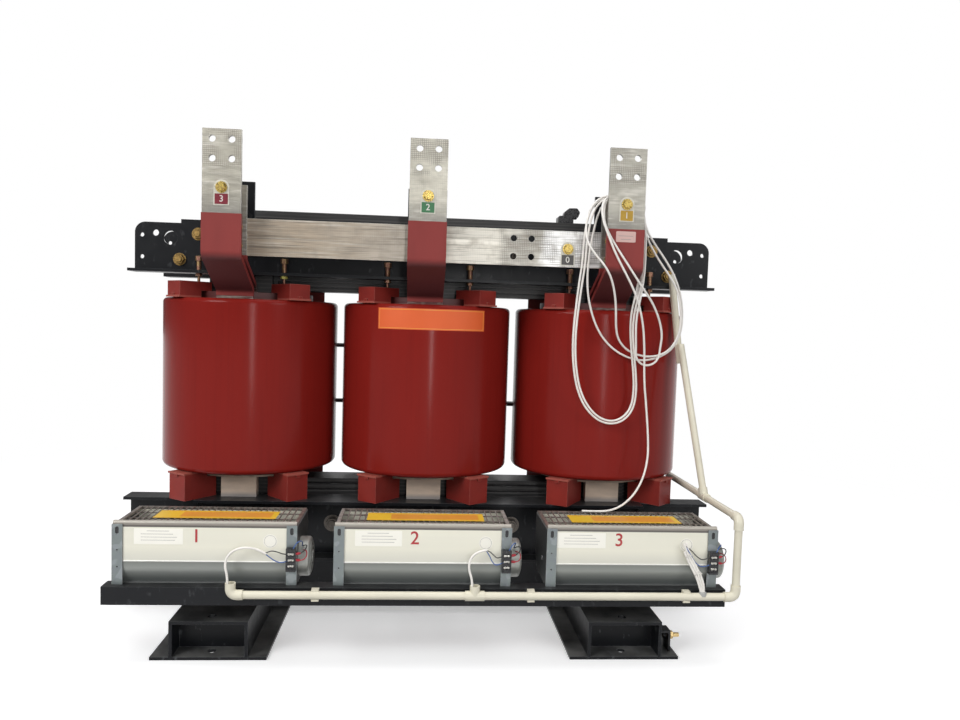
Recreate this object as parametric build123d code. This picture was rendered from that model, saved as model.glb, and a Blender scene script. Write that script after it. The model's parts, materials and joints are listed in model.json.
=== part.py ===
from build123d import *
import math
import os

# Cast resin dry type transformer, three phases, with three cross-flow cooling fans.
# Millimetres. +X runs along the core, +Y points from the low voltage side to the
# high voltage side, +Z is up. The origin is on the floor, midway between the four
# anchor holes of the base rails.

# ---------------------------------------------------------------- driving sizes
PHASE_PITCH = 536.0          # limb to limb
FIT_GAP = 0.3                # clearance at a loose seat

# core: stepped packets of lamination, width and half depth of each
CORE_PACKETS = [(236.0, 50.0), (212.0, 74.0), (184.0, 94.0), (156.0, 110.0)]
LOWER_YOKE_Z = 261.0
UPPER_YOKE_Z = 1068.0

# coils
HV_OUT_R = 257.0
HV_IN_R = 210.0
HV_BOTTOM_Z = 424.0
HV_HEIGHT = 494.0
HV_EDGE_R = 13.0
LV_OUT_R = 180.0
LV_IN_R = 156.0
LV_OVERHANG = 20.0           # the low voltage coil is longer at both ends
LEAD_BOSS_Z = (862.0, 926.0)

# coil pads; the angles are the left and right pads of each phase, from the X axis
PAD_WIDTH = 66.0
PAD_INNER_R = 162.0
PAD_LIP = 4.0
PAD_LIP_SIDE = 2.0
PAD_LIP_H = 5.0
PAD_TAB_W = 12.0
LOWER_PAD_H = 79.0
LOWER_PAD_PAST = 14.0        # beyond the outside of the high voltage coil
LOWER_PAD_ANGLES = [(54.0, 50.0), (53.0, 54.0), (57.0, 47.0)]
UPPER_PAD_H = 46.0
UPPER_PAD_PAST = 4.0
UPPER_PAD_ANGLES = [(46.0, 49.0), (47.0, 49.0), (49.0, 49.0)]
LV_BLOCK_W = 100.0
LV_BLOCK_PAST = 12.0         # in front of the bore of the low voltage coil

# core clamps
CLAMP_T = 8.0
CLAMP_BOARD_T = 13.0
CLAMP_FLANGE = 60.0
UPPER_CLAMP_HALF = 844.0
UPPER_CLAMP_H = 155.0
UPPER_FLANGE_RISE = 23.0     # gap from the upper pads to the upper flange
UPPER_END_DROP = 11.0        # the ends of the upper clamp are lower than its middle
UPPER_END_FROM = 715.0
CLAMP_CORNER_R = 30.0
LOWER_CLAMP_HALF = 853.0
LOWER_CLAMP_REAR_HALF = 820.0
LOWER_CLAMP_H = 182.0
PAD_SHELF_HALF = 650.0       # the flange under the lower pads is wider between the ends
PAD_SHELF_DEPTH = 91.0
LIFT_HOLE_D = 40.0           # holes are placed from the end and the foot of the clamp
LIFT_HOLE_AT = (100.0, 101.0)
SHACKLE_HOLE_D = 18.0
SHACKLE_HOLE_AT = (58.0, 114.0)
SMALL_HOLE_D = 12.0
SMALL_HOLES_AT = [(20.0, 107.0), (20.0, 45.0)]
END_STUDS_AT = [(718.0, 40.0), (666.0, 114.0)]
LOWER_STUD_AT = (666.0, 152.0)
STUD_D = 16.0
YOKE_BOLT_D = 20.0
TIE_PLATE = (60.0, 10.0)
TIE_PLATE_INSET = 33.0

# press bolts
PRESS_AT = (120.0, 160.0)
PRESS_ROD_D = 8.0
PRESS_SLEEVE_D = 14.0
PRESS_HEAD_H = 13.0
PRESS_SLEEVE_H = 28.0
PRESS_NUT_H = 8.0

# low voltage bars
BAR_W = 100.0
BAR_T = 10.0
LEAD_OFFSET_X = -10.0
PHASE_BAR_Y = -355.0
PHASE_BAR_TOP = 1352.0
PHASE_BEND_Z = 1026.0
PHASE_LEAD_Y = -193.0
RISER_Y = -285.0
RISER_TOP = 1221.0
RISER_BEND_Z = 1018.0
RISER_LEAD_Y = -136.0
LEAD_BEND_Z = 944.0
RISER_LEAD_BEND_Z = 948.0
BAR_BEND_R = 20.0
TERMINAL_HOLE_D = 18.0
TERMINAL_PITCH = 50.0
TERMINAL_TOP_GAP = 26.0
SHEATH_T = 1.5
SHEATH_TOP = 1136.0
SHEATH_FOOT_Z = 926.0
NEUTRAL_Z = 1084.0
NEUTRAL_HOLES_X = 256.0
NEUTRAL_BOLT_X = 384.0
PHASE_BOLT_Z = 1202.0
BAR_BOLT_D = 12.0
POST_D = 38.0
BRACKET_POST_Z = 1180.0
BRACKET_Y = -205.0
BRACKET_W = 110.0
BRACKET_TOP = 1243.0
BRACKET_FOOT = (1046.0, 1134.0)
BRACKET_T = 8.0

# base
RAIL_X = 535.0
RAIL_HALF_L = 492.0
RAIL_H = 100.0
RAIL_TOP_W = 196.0
RAIL_FOOT_W = 290.0
RAIL_T = 8.0
POCKET_DEPTH = 66.0
ANCHOR_INSET = 38.0
ANCHOR_D = 22.0
BASE_BEAM_H = 63.0
BASE_BEAM_W = 40.0
BASE_BEAM_T = 5.0
BASE_BEAM_PAST = 10.0        # beyond the feet of the rails

# fans and their shelf
SHELF_FRONT_Y = -543.0
SHELF_LEG = 45.0
SHELF_T = 5.0
SHELF_HALF = 778.0
SHELF_TOP_Z = 206.0
ARM_W = 30.0
ARM_T = 4.0
FAN_FRONT_Y = -525.0
FAN_HALF = 223.0
FAN_PLATE_T = 2.0
FAN_DEPTH = 187.0
FAN_H = 150.0
FAN_FLANGE = 26.0
SHELL_T = 3.0
BEAD_R = 7.0
SCROLL_R = 56.0
IMPELLER_R = 44.0
IMPELLER_BLADES = 20
IMPELLER_HALF = 204.0
SHAFT_D = 12.0
BEARING_GAP = 0.05
AXLE_U = 64.0                # impeller axis behind the flange
AXLE_V = 56.0                # and above the shelf
MOTOR_R = 50.0
MOTOR_L = 28.0
GUARD_BARS = 27
GUARD_BAR = 2.6

# conduit
PIPE_D = 20.0
PIPE_T = 1.8
FITTING_T = 2.6
CONDUIT_Z = 192.0
CONDUIT_LEFT = -467.0
CONDUIT_RIGHT = 799.0
CONDUIT_TOP_Z = 396.0
CONDUIT_BACK_Y = 20.0
TEES_X = [130.5]
CABLE_OUTLET_X = 713.2       # bare hole in the pipe for the cable of the third fan
RISER_TEE_Y = -308.0
CLIPS_X = [-263.0, 272.0, 671.0]
CLIP_W = 18.0
UPPER_PIPE = [(746.0, -201.3, 770.0), (709.0, -201.3, 1030.0)]
SLANT_PIPE_TOP = (739.0, -221.8, 826.0)

# high voltage side
TERMINAL_BOSS_D = 46.0
TERMINAL_BOSS_Y = 285.0
HV_TERMINALS_Z = (583.0, 776.0)
TAP_PANEL = (150.0, 110.0)
TAP_PANEL_Y = 282.0
TAP_STUD_D = 10.0
DELTA_D = 14.0
DELTA_Y = (306.0, 334.0)

# earthing lug on the right rail
EARTH_Y = -440.0
EARTH_BOLT_Z = 46.0
EARTH_LUG = (40.0, 56.0, 6.0)
EARTH_LUG_OUT = 35.0         # from the wall of the rail to the upright

# cords
PROBE_CLIP_Z = (1056.0, 1080.0)
PROBE_SEAT_Z = 1062.0
PROBE_CABLE_D = 6.0
FAN_CABLE_D = 6.0

# ---------------------------------------------------------------- derived sizes
PHASES_X = [-PHASE_PITCH, 0.0, PHASE_PITCH]
CORE_W = CORE_PACKETS[0][0]
CORE_HALF_DEPTH = CORE_PACKETS[-1][1]
CLAMP_BACK_Y = -(CORE_HALF_DEPTH + CLAMP_BOARD_T)
CLAMP_FRONT_Y = CLAMP_BACK_Y - CLAMP_T
FLANGE_FRONT_Y = CLAMP_FRONT_Y - CLAMP_FLANGE
HV_TOP_Z = HV_BOTTOM_Z + HV_HEIGHT
LV_BOTTOM_Z = HV_BOTTOM_Z - LV_OVERHANG
LV_TOP_Z = HV_TOP_Z + LV_OVERHANG
LOWER_PAD_Z = HV_BOTTOM_Z - LOWER_PAD_H
UPPER_PAD_Z = HV_TOP_Z + UPPER_PAD_H
LOWER_CLAMP_TOP = LOWER_PAD_Z
LOWER_CLAMP_BOTTOM = LOWER_CLAMP_TOP - LOWER_CLAMP_H
UPPER_CLAMP_BOTTOM = UPPER_PAD_Z + UPPER_FLANGE_RISE
UPPER_CLAMP_TOP = UPPER_CLAMP_BOTTOM + UPPER_CLAMP_H
PHASE_BAR_FRONT = PHASE_BAR_Y - BAR_T / 2
PHASE_BAR_BACK = PHASE_BAR_Y + BAR_T / 2
RISER_FRONT = RISER_Y - BAR_T / 2
RISER_BACK = RISER_Y + BAR_T / 2
AXLE_Y = FAN_FRONT_Y + AXLE_U
AXLE_Z = SHELF_TOP_Z + AXLE_V
CONDUIT_Y = SHELF_FRONT_Y - FITTING_T - PIPE_D / 2 - FIT_GAP


def block(x0, x1, y0, y1, z0, z1):
    """A box given by its limits on the three axes."""
    centre = Pos((x0 + x1) / 2, (y0 + y1) / 2, (z0 + z1) / 2)
    return centre * Box(abs(x1 - x0), abs(y1 - y0), abs(z1 - z0))


def rod_x(radius, x0, x1, y, z):
    return Pos((x0 + x1) / 2, y, z) * Rot(0, 90, 0) * Cylinder(radius, abs(x1 - x0))


def rod_y(radius, x, y0, y1, z):
    return Pos(x, (y0 + y1) / 2, z) * Rot(90, 0, 0) * Cylinder(radius, abs(y1 - y0))


def rod_z(radius, x, y, z0, z1):
    return Pos(x, y, (z0 + z1) / 2) * Cylinder(radius, abs(z1 - z0))


def hex_y(across_flats, x, y0, y1, z):
    """A hexagonal prism along Y between two planes."""
    start = Plane(origin=(x, min(y0, y1), z), x_dir=(1, 0, 0), z_dir=(0, 1, 0))
    return extrude(start * RegularPolygon(across_flats / 2, 6, major_radius=False), abs(y1 - y0))


def hex_z(across_flats, x, y, z0, z1):
    start = Plane(origin=(x, y, z0))
    return extrude(start * RegularPolygon(across_flats / 2, 6, major_radius=False), z1 - z0)


def rear(shape):
    """The same piece on the high voltage side."""
    return mirror(shape, Plane.XZ)


def save(name, *pieces):
    solids = [solid for piece in pieces for solid in piece.solids()]
    model = solids[0] if len(solids) == 1 else Compound(children=solids)
    export_step(model, os.path.join("parts", name + ".step"))


# ---------------------------------------------------------------- core and clamps
def core():
    frame = None
    for width, half_depth in CORE_PACKETS:
        reach = PHASE_PITCH + width / 2
        packet = block(-reach, reach, -half_depth, half_depth,
                       LOWER_YOKE_Z - width / 2, UPPER_YOKE_Z + width / 2)
        for side in (-1, 1):
            packet -= block(side * width / 2, side * (PHASE_PITCH - width / 2), -half_depth, half_depth,
                            LOWER_YOKE_Z + width / 2, UPPER_YOKE_Z - width / 2)
        frame = packet if frame is None else frame + packet
    for x in (-PHASE_PITCH / 2, PHASE_PITCH / 2):
        for z in (LOWER_YOKE_Z, UPPER_YOKE_Z):
            frame -= rod_y(YOKE_BOLT_D / 2 + FIT_GAP, x, -CORE_HALF_DEPTH, CORE_HALF_DEPTH, z)
    return frame


def upper_clamp():
    """Front upper clamp: a plate with a flange at its foot and lower, rounded ends."""
    end_top = UPPER_CLAMP_TOP - UPPER_END_DROP
    web = block(-UPPER_CLAMP_HALF, UPPER_CLAMP_HALF, CLAMP_FRONT_Y, CLAMP_BACK_Y, UPPER_CLAMP_BOTTOM, end_top)
    corners = [edge for edge in web.edges().filter_by(Axis.Y) if edge.center().Z > end_top - 1]
    web = fillet(corners, CLAMP_CORNER_R)
    web += block(-UPPER_END_FROM, UPPER_END_FROM, CLAMP_FRONT_Y, CLAMP_BACK_Y,
                 end_top - CLAMP_CORNER_R, UPPER_CLAMP_TOP)
    web += block(-UPPER_CLAMP_HALF, UPPER_CLAMP_HALF, FLANGE_FRONT_Y, CLAMP_FRONT_Y,
                 UPPER_CLAMP_BOTTOM, UPPER_CLAMP_BOTTOM + CLAMP_T)
    end_holes = [(LIFT_HOLE_D, LIFT_HOLE_AT), (SHACKLE_HOLE_D, SHACKLE_HOLE_AT)]
    end_holes += [(SMALL_HOLE_D, at) for at in SMALL_HOLES_AT]
    holes = [(diameter, (UPPER_CLAMP_HALF - inset, rise)) for diameter, (inset, rise) in end_holes]
    holes += [(STUD_D + 2 * FIT_GAP, at) for at in END_STUDS_AT]
    holes += [(YOKE_BOLT_D + 2 * FIT_GAP, (PHASE_PITCH / 2, UPPER_YOKE_Z - UPPER_CLAMP_BOTTOM))]
    for diameter, (x, rise) in holes:
        for side in (-1, 1):
            web -= rod_y(diameter / 2, side * x, CLAMP_FRONT_Y - 1, CLAMP_BACK_Y + 1,
                         UPPER_CLAMP_BOTTOM + rise)
    for phase_x in PHASES_X:
        for side in (-1, 1):
            web -= rod_z(PRESS_ROD_D / 2 + FIT_GAP, phase_x + side * PRESS_AT[0], -PRESS_AT[1],
                         UPPER_CLAMP_BOTTOM - 1, UPPER_CLAMP_BOTTOM + CLAMP_T + 1)
    return web


def lower_clamp(half):
    """Front lower clamp: a channel with its flanges to the front, the upper one wider under the pads."""
    clamp = block(-half, half, CLAMP_FRONT_Y, CLAMP_BACK_Y, LOWER_CLAMP_BOTTOM, LOWER_CLAMP_TOP)
    for z in (LOWER_CLAMP_BOTTOM, LOWER_CLAMP_TOP - CLAMP_T):
        clamp += block(-half, half, FLANGE_FRONT_Y, CLAMP_FRONT_Y, z, z + CLAMP_T)
    clamp += block(-PAD_SHELF_HALF, PAD_SHELF_HALF, CLAMP_FRONT_Y - PAD_SHELF_DEPTH, CLAMP_FRONT_Y,
                   LOWER_CLAMP_TOP - CLAMP_T, LOWER_CLAMP_TOP)
    for side in (-1, 1):
        clamp -= rod_y(YOKE_BOLT_D / 2 + FIT_GAP, side * PHASE_PITCH / 2,
                       CLAMP_FRONT_Y - 1, CLAMP_BACK_Y + 1, LOWER_YOKE_Z)
        clamp -= rod_y(STUD_D / 2 + FIT_GAP, side * LOWER_STUD_AT[0],
                       CLAMP_FRONT_Y - 1, CLAMP_BACK_Y + 1, LOWER_CLAMP_BOTTOM + LOWER_STUD_AT[1])
    return clamp


def tie_plate_reach():
    return (LOWER_YOKE_Z - TIE_PLATE_INSET, UPPER_YOKE_Z + TIE_PLATE_INSET)


def tie_plates():
    """Flat steel straps along the front of each limb, from the lower to the upper yoke."""
    bottom, top = tie_plate_reach()
    width, thick = TIE_PLATE
    return [block(x - width / 2, x + width / 2, -CORE_HALF_DEPTH - thick, -CORE_HALF_DEPTH, bottom, top)
            for x in PHASES_X]


def clamp_boards():
    """Insulating boards between the yokes and the clamps, notched for the tie plates."""
    narrow = CORE_PACKETS[-1][0]
    reach = PHASE_PITCH + CORE_W / 2 - 14
    bottom, top = tie_plate_reach()
    boards = []
    for yoke_z in (LOWER_YOKE_Z, UPPER_YOKE_Z):
        board = block(-reach, reach, CLAMP_BACK_Y, -CORE_HALF_DEPTH,
                      yoke_z - narrow / 2 + 4, yoke_z + narrow / 2 - 4)
        for x in PHASES_X:
            half = TIE_PLATE[0] / 2 + FIT_GAP
            board -= block(x - half, x + half, CLAMP_BACK_Y - 1, -CORE_HALF_DEPTH + 1,
                           bottom - FIT_GAP, top + FIT_GAP)
        for x in (-PHASE_PITCH / 2, PHASE_PITCH / 2):
            board -= rod_y(YOKE_BOLT_D / 2 + FIT_GAP, x, CLAMP_BACK_Y - 1, -CORE_HALF_DEPTH + 1, yoke_z)
        boards.append(board)
    return boards


def through_stud(diameter, washer_d, flats, x, z):
    """A stud from the front to the rear clamp, with a washer and a nut at both ends."""
    face = -CLAMP_FRONT_Y
    washer_t = 3.0
    nut_t = 0.6 * diameter
    stud = rod_y(diameter / 2, x, -face - washer_t - nut_t - 4, face + washer_t + nut_t + 4, z)
    for side in (-1, 1):
        stud += rod_y(washer_d / 2, x, side * face, side * (face + washer_t), z)
        stud += hex_y(flats, x, side * (face + washer_t), side * (face + washer_t + nut_t), z)
    return stud


def end_studs():
    studs = []
    for side in (-1, 1):
        for x, rise in END_STUDS_AT:
            studs.append(through_stud(STUD_D, 36, 24, side * x, UPPER_CLAMP_BOTTOM + rise))
    return studs


def lower_studs():
    x, rise = LOWER_STUD_AT
    return [through_stud(STUD_D, 30, 24, side * x, LOWER_CLAMP_BOTTOM + rise) for side in (-1, 1)]


def yoke_bolts():
    return [through_stud(YOKE_BOLT_D, 50, 30, x, z)
            for x in (-PHASE_PITCH / 2, PHASE_PITCH / 2) for z in (LOWER_YOKE_Z, UPPER_YOKE_Z)]


# ---------------------------------------------------------------- coils and pads
def hv_coil(x):
    """Cast resin coil with rounded ends and, at the rear, its terminals and tap panel."""
    ring = rod_z(HV_OUT_R, 0, 0, HV_BOTTOM_Z, HV_TOP_Z)
    ring = fillet(ring.edges().filter_by(GeomType.CIRCLE), HV_EDGE_R)
    for z in HV_TERMINALS_Z:
        ring += rod_y(TERMINAL_BOSS_D / 2, 0, HV_IN_R, TERMINAL_BOSS_Y, z)
    width, height = TAP_PANEL
    middle = sum(HV_TERMINALS_Z) / 2
    panel = block(-width / 2, width / 2, HV_IN_R, TAP_PANEL_Y, middle - height / 2, middle + height / 2)
    ring += fillet(panel.edges().filter_by(Axis.Y), 8)
    ring -= rod_z(HV_IN_R, 0, 0, HV_BOTTOM_Z - 1, HV_TOP_Z + 1)
    return Pos(x, 0, 0) * ring


def lv_coil(x):
    """Foil coil with the two lead strips that the bars are welded to."""
    ring = rod_z(LV_OUT_R, 0, 0, LV_BOTTOM_Z, LV_TOP_Z)
    half = BAR_W / 2 - 4
    low, high = LEAD_BOSS_Z
    left, right = LEAD_OFFSET_X - half, LEAD_OFFSET_X + half
    ring += block(left, right, PHASE_LEAD_Y + BAR_T / 2, -LV_IN_R - 8, low, high)
    ring -= rod_z(LV_IN_R, 0, 0, LV_BOTTOM_Z - 1, LV_TOP_Z + 1)
    ring += block(left, right, -LV_IN_R - 8, RISER_LEAD_Y - BAR_T / 2, low, high)
    return Pos(x, 0, 0) * ring


def pad(foot_z, hv_end, lv_end, past):
    """One resin pad along +X from the limb, stepped for the longer inner coil, with a lip at its mouth."""
    half = PAD_WIDTH / 2
    step_r = (LV_OUT_R + HV_IN_R) / 2
    outer_r = HV_OUT_R + past
    toward_foot = math.copysign(1, foot_z - hv_end)
    outline = Polygon((PAD_INNER_R, foot_z), (outer_r, foot_z), (outer_r, hv_end), (step_r, hv_end),
                      (step_r, lv_end), (PAD_INNER_R, lv_end), align=None)
    shape = extrude(Plane.XZ * outline, half, both=True)
    for half_width, height in ((half + PAD_LIP_SIDE, PAD_LIP_H), (PAD_TAB_W / 2, 2.4 * PAD_LIP_H)):
        low, high = sorted((hv_end, hv_end + toward_foot * height))
        shape += block(outer_r, outer_r + PAD_LIP, -half_width, half_width, low, high)
    return shape


def around_limbs(shape, angles):
    """The pad at both sides of each limb, at the front and at the rear."""
    pads = []
    for x, (left, right) in zip(PHASES_X, angles):
        for turn in (180 + left, -right, 180 - left, right):
            pads.append(Pos(x, 0, 0) * Rot(0, 0, turn) * shape)
    return pads


def lower_pads():
    return around_limbs(pad(LOWER_PAD_Z, HV_BOTTOM_Z, LV_BOTTOM_Z, LOWER_PAD_PAST), LOWER_PAD_ANGLES)


def upper_pads():
    return around_limbs(pad(UPPER_PAD_Z, HV_TOP_Z, LV_TOP_Z, UPPER_PAD_PAST), UPPER_PAD_ANGLES)


def press_bolts():
    """Screws through the upper flanges that press the pads down on the coils."""
    flange_top = UPPER_CLAMP_BOTTOM + CLAMP_T
    bolts = []
    for phase_x in PHASES_X:
        for side_x in (-1, 1):
            for side_y in (-1, 1):
                x = phase_x + side_x * PRESS_AT[0]
                y = side_y * PRESS_AT[1]
                head_z = flange_top + PRESS_SLEEVE_H
                bolt = rod_z(PRESS_ROD_D / 2, x, y, UPPER_PAD_Z, head_z)
                bolt += rod_z(PRESS_SLEEVE_D / 2, x, y, flange_top, head_z)
                bolt += hex_z(19, x, y, head_z, head_z + PRESS_HEAD_H)
                bolt += hex_z(17, x, y, UPPER_CLAMP_BOTTOM - PRESS_NUT_H, UPPER_CLAMP_BOTTOM)
                bolts.append(bolt)
    return bolts


def lv_blocks():
    """Laminated board blocks between the lower flanges and the low voltage coils."""
    half = LV_BLOCK_W / 2
    blocks = []
    for x in PHASES_X:
        front = block(x - half, x + half, -LV_IN_R - LV_BLOCK_PAST, CLAMP_FRONT_Y - 2,
                      LOWER_CLAMP_TOP, LV_BOTTOM_Z)
        blocks += [front, rear(front)]
    return blocks


# ---------------------------------------------------------------- low voltage bars
def bent_bar(points, width, thick, x):
    """A flat bar that follows a bent line in the YZ plane."""
    path = FilletPolyline(*[(x, y, z) for y, z in points], radius=BAR_BEND_R)
    start = Plane(origin=path @ 0, x_dir=(1, 0, 0), z_dir=path % 0)
    return sweep(start * Rectangle(width, thick), path)


def phase_line(bottom, top):
    return [(PHASE_LEAD_Y, bottom), (PHASE_LEAD_Y, LEAD_BEND_Z),
            (PHASE_BAR_Y, PHASE_BEND_Z), (PHASE_BAR_Y, top)]


def riser_line(bottom, top):
    return [(RISER_LEAD_Y, bottom), (RISER_LEAD_Y, RISER_LEAD_BEND_Z),
            (RISER_Y, RISER_BEND_Z), (RISER_Y, top)]


def sleeve(points, x):
    outer = bent_bar(points, BAR_W + 2 * SHEATH_T, BAR_T + 2 * SHEATH_T, x)
    return outer - bent_bar(points, BAR_W, BAR_T, x)


def phase_bar(x):
    bar = bent_bar(phase_line(LEAD_BOSS_Z[0], PHASE_BAR_TOP), BAR_W, BAR_T, x)
    for dx in (-TERMINAL_PITCH / 2, TERMINAL_PITCH / 2):
        for drop in (0, TERMINAL_PITCH):
            bar -= rod_y(TERMINAL_HOLE_D / 2, x + dx, PHASE_BAR_FRONT - 1, PHASE_BAR_BACK + 1,
                         PHASE_BAR_TOP - TERMINAL_TOP_GAP - drop)
    bar -= rod_y(BAR_BOLT_D / 2 + FIT_GAP, x, PHASE_BAR_FRONT - 1, PHASE_BAR_BACK + 1, PHASE_BOLT_Z)
    return bar


def riser_bolt_places(x):
    half = TERMINAL_PITCH / 2
    return [(x + dx, NEUTRAL_Z + dz) for dx in (-half, half) for dz in (-half, half)]


def neutral_riser(x):
    bar = bent_bar(riser_line(LEAD_BOSS_Z[0], RISER_TOP), BAR_W, BAR_T, x)
    for bolt_x, bolt_z in riser_bolt_places(x):
        bar -= rod_y(BAR_BOLT_D / 2 + FIT_GAP, bolt_x, RISER_FRONT - 1, RISER_BACK + 1, bolt_z)
    return bar


def riser_sleeve(x):
    """Shrink sleeve from just above the coil to the upper bend of the riser."""
    slope = (RISER_Y - RISER_LEAD_Y) / (RISER_BEND_Z - RISER_LEAD_BEND_Z)
    rise = 12.0
    foot_z = RISER_LEAD_BEND_Z + rise
    foot_y = RISER_LEAD_Y + slope * rise
    line = [(foot_y, foot_z), (RISER_Y, RISER_BEND_Z), (RISER_Y, RISER_BEND_Z + 16)]
    return sleeve(line, x)


def neutral_bar():
    left = PHASES_X[0] + LEAD_OFFSET_X - BAR_W / 2
    right = PHASES_X[2] + LEAD_OFFSET_X + BAR_W / 2
    bar = block(left, right, RISER_BACK, RISER_BACK + BAR_T, NEUTRAL_Z - BAR_W / 2, NEUTRAL_Z + BAR_W / 2)
    holes = [(NEUTRAL_HOLES_X + dx, NEUTRAL_Z + dz, TERMINAL_HOLE_D / 2)
             for dx in (-TERMINAL_PITCH / 2, TERMINAL_PITCH / 2)
             for dz in (-TERMINAL_PITCH / 2, TERMINAL_PITCH / 2)]
    holes.append((NEUTRAL_BOLT_X, NEUTRAL_Z, BAR_BOLT_D / 2 + FIT_GAP))
    for x in PHASES_X:
        holes += [(bx, bz, BAR_BOLT_D / 2 + FIT_GAP) for bx, bz in riser_bolt_places(x + LEAD_OFFSET_X)]
    for x, z, radius in holes:
        bar -= rod_y(radius, x, RISER_BACK - 1, RISER_BACK + BAR_T + 1, z)
    return bar


def bar_bolt(x, front, back, z, nut):
    """Hexagon screw with washer; a nut at the back where the bar is not held by a post."""
    washer_t = 2.5
    head_t = 8.0
    bolt = rod_y(BAR_BOLT_D / 2, x, front, back, z)
    bolt += rod_y(15, x, front - washer_t, front, z)
    bolt += hex_y(19, x, front - washer_t - head_t, front - washer_t, z)
    if nut:
        bolt += hex_y(19, x, back, back + head_t, z)
    return bolt


def bar_bolts():
    bolts = []
    for x in PHASES_X:
        lead_x = x + LEAD_OFFSET_X
        bolts.append(bar_bolt(lead_x, PHASE_BAR_FRONT, PHASE_BAR_BACK + 12, PHASE_BOLT_Z, False))
        for bolt_x, bolt_z in riser_bolt_places(lead_x):
            bolts.append(bar_bolt(bolt_x, RISER_FRONT, RISER_BACK + BAR_T, bolt_z, True))
    bolts.append(bar_bolt(NEUTRAL_BOLT_X, RISER_BACK, RISER_BACK + BAR_T, NEUTRAL_Z, True))
    return bolts


def posts():
    """Post insulators: bar to riser, and riser to the bracket on the clamp."""
    pieces = []
    for x in PHASES_X:
        lead_x = x + LEAD_OFFSET_X
        front_post = rod_y(POST_D / 2, lead_x, PHASE_BAR_BACK, RISER_FRONT, PHASE_BOLT_Z)
        front_post -= rod_y(BAR_BOLT_D / 2 + FIT_GAP, lead_x, PHASE_BAR_BACK - 1, PHASE_BAR_BACK + 13,
                            PHASE_BOLT_Z)
        pieces.append(front_post)
        pieces.append(rod_y(POST_D / 2, lead_x, RISER_BACK, BRACKET_Y - BRACKET_T, BRACKET_POST_Z))
    return pieces


def bar_brackets():
    """Bent steel straps on the upper clamp that carry the bars."""
    low, high = BRACKET_FOOT
    pieces = []
    for x in PHASES_X:
        x0 = x + LEAD_OFFSET_X - BRACKET_W / 2
        x1 = x0 + BRACKET_W
        strap = block(x0, x1, CLAMP_FRONT_Y - BRACKET_T, CLAMP_FRONT_Y, low, high)
        strap += block(x0, x1, BRACKET_Y, CLAMP_FRONT_Y, high - BRACKET_T, high)
        strap += block(x0, x1, BRACKET_Y - BRACKET_T, BRACKET_Y, high - BRACKET_T, BRACKET_TOP)
        pieces.append(strap)
    return pieces


def terminal_tags():
    """Small plates under the bolts: one on each phase bar and one on the neutral bar."""
    places = [(x + LEAD_OFFSET_X, PHASE_BAR_FRONT, PHASE_BOLT_Z) for x in PHASES_X]
    places.append((NEUTRAL_BOLT_X, RISER_BACK, NEUTRAL_Z))
    plates = []
    for x, y, z in places:
        plate = rod_y(20, x, y - 0.8, y, z) + block(x - 20, x + 20, y - 0.8, y, z - 46, z)
        plates.append(plate - rod_y(15 + FIT_GAP, x, y - 2, y + 1, z))
    return plates


def yoke_hook():
    """Rubber hook that stands on the upper yoke, its rounded tongue leaning to the right."""
    foot_z = UPPER_YOKE_Z + CORE_W / 2
    height = 24.0
    hook = block(397, 445, -30, 10, foot_z, foot_z + height)
    hook = chamfer(hook.edges().filter_by(Axis.Y).group_by(Axis.Z)[-1], 4)
    tongue = Polygon((417, height - 3), (422, height + 17), (437, height + 29), (462, height + 30),
                     (472, height + 17), (464, height - 3), align=None)
    tongue = fillet(tongue.vertices().group_by(Axis.Y)[-1] + tongue.vertices().group_by(Axis.Y)[1], 8)
    start = Plane(origin=(0, 3, foot_z), x_dir=(1, 0, 0), z_dir=(0, -1, 0))
    tongue = extrude(start * tongue, 26)
    return hook + (tongue - block(445, 480, -40, 20, foot_z, foot_z + height + 1))


# ---------------------------------------------------------------- base and fan shelf
def base_rail(side):
    """Rail with a top plate, two side walls, feet turned out and a pocket at each end."""
    foot = (RAIL_FOOT_W - RAIL_TOP_W) / 2
    half = RAIL_TOP_W / 2
    rail = block(-half, half, -RAIL_HALF_L, RAIL_HALF_L, RAIL_H - RAIL_T, RAIL_H)
    for wall in (-1, 1):
        rail += block(wall * half, wall * (half - RAIL_T), -RAIL_HALF_L, RAIL_HALF_L, 0, RAIL_H)
        rail += block(wall * half, wall * (half + foot), -RAIL_HALF_L, RAIL_HALF_L, 0, RAIL_T)
    for end in (-1, 1):
        mouth = end * RAIL_HALF_L
        back = end * (RAIL_HALF_L - POCKET_DEPTH)
        rail += block(-half, half, mouth, back, 0, RAIL_T)
        rail += block(-half, half, back, back - end * RAIL_T, 0, RAIL_H)
        rail -= rod_z(ANCHOR_D / 2, 0, end * (RAIL_HALF_L - ANCHOR_INSET), -1, RAIL_H + 1)
    return Pos(side * RAIL_X, 0, 0) * rail


def base_beam():
    """Channel that lies on the rails under the front lower clamp."""
    front = FLANGE_FRONT_Y
    top = RAIL_H + BASE_BEAM_H
    half = RAIL_X + RAIL_FOOT_W / 2 + BASE_BEAM_PAST
    beam = block(-half, half, front, front + BASE_BEAM_T, RAIL_H, top)
    for z in (RAIL_H, top - BASE_BEAM_T):
        beam += block(-half, half, front, front + BASE_BEAM_W, z, z + BASE_BEAM_T)
    return beam


def fan_shelf():
    """Angle along the front that the fans stand on."""
    shelf = block(-SHELF_HALF, SHELF_HALF, SHELF_FRONT_Y, SHELF_FRONT_Y + SHELF_T,
                  SHELF_TOP_Z - SHELF_LEG, SHELF_TOP_Z)
    shelf += block(-SHELF_HALF, SHELF_HALF, SHELF_FRONT_Y, SHELF_FRONT_Y + SHELF_LEG,
                   SHELF_TOP_Z - SHELF_T, SHELF_TOP_Z)
    return shelf


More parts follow.
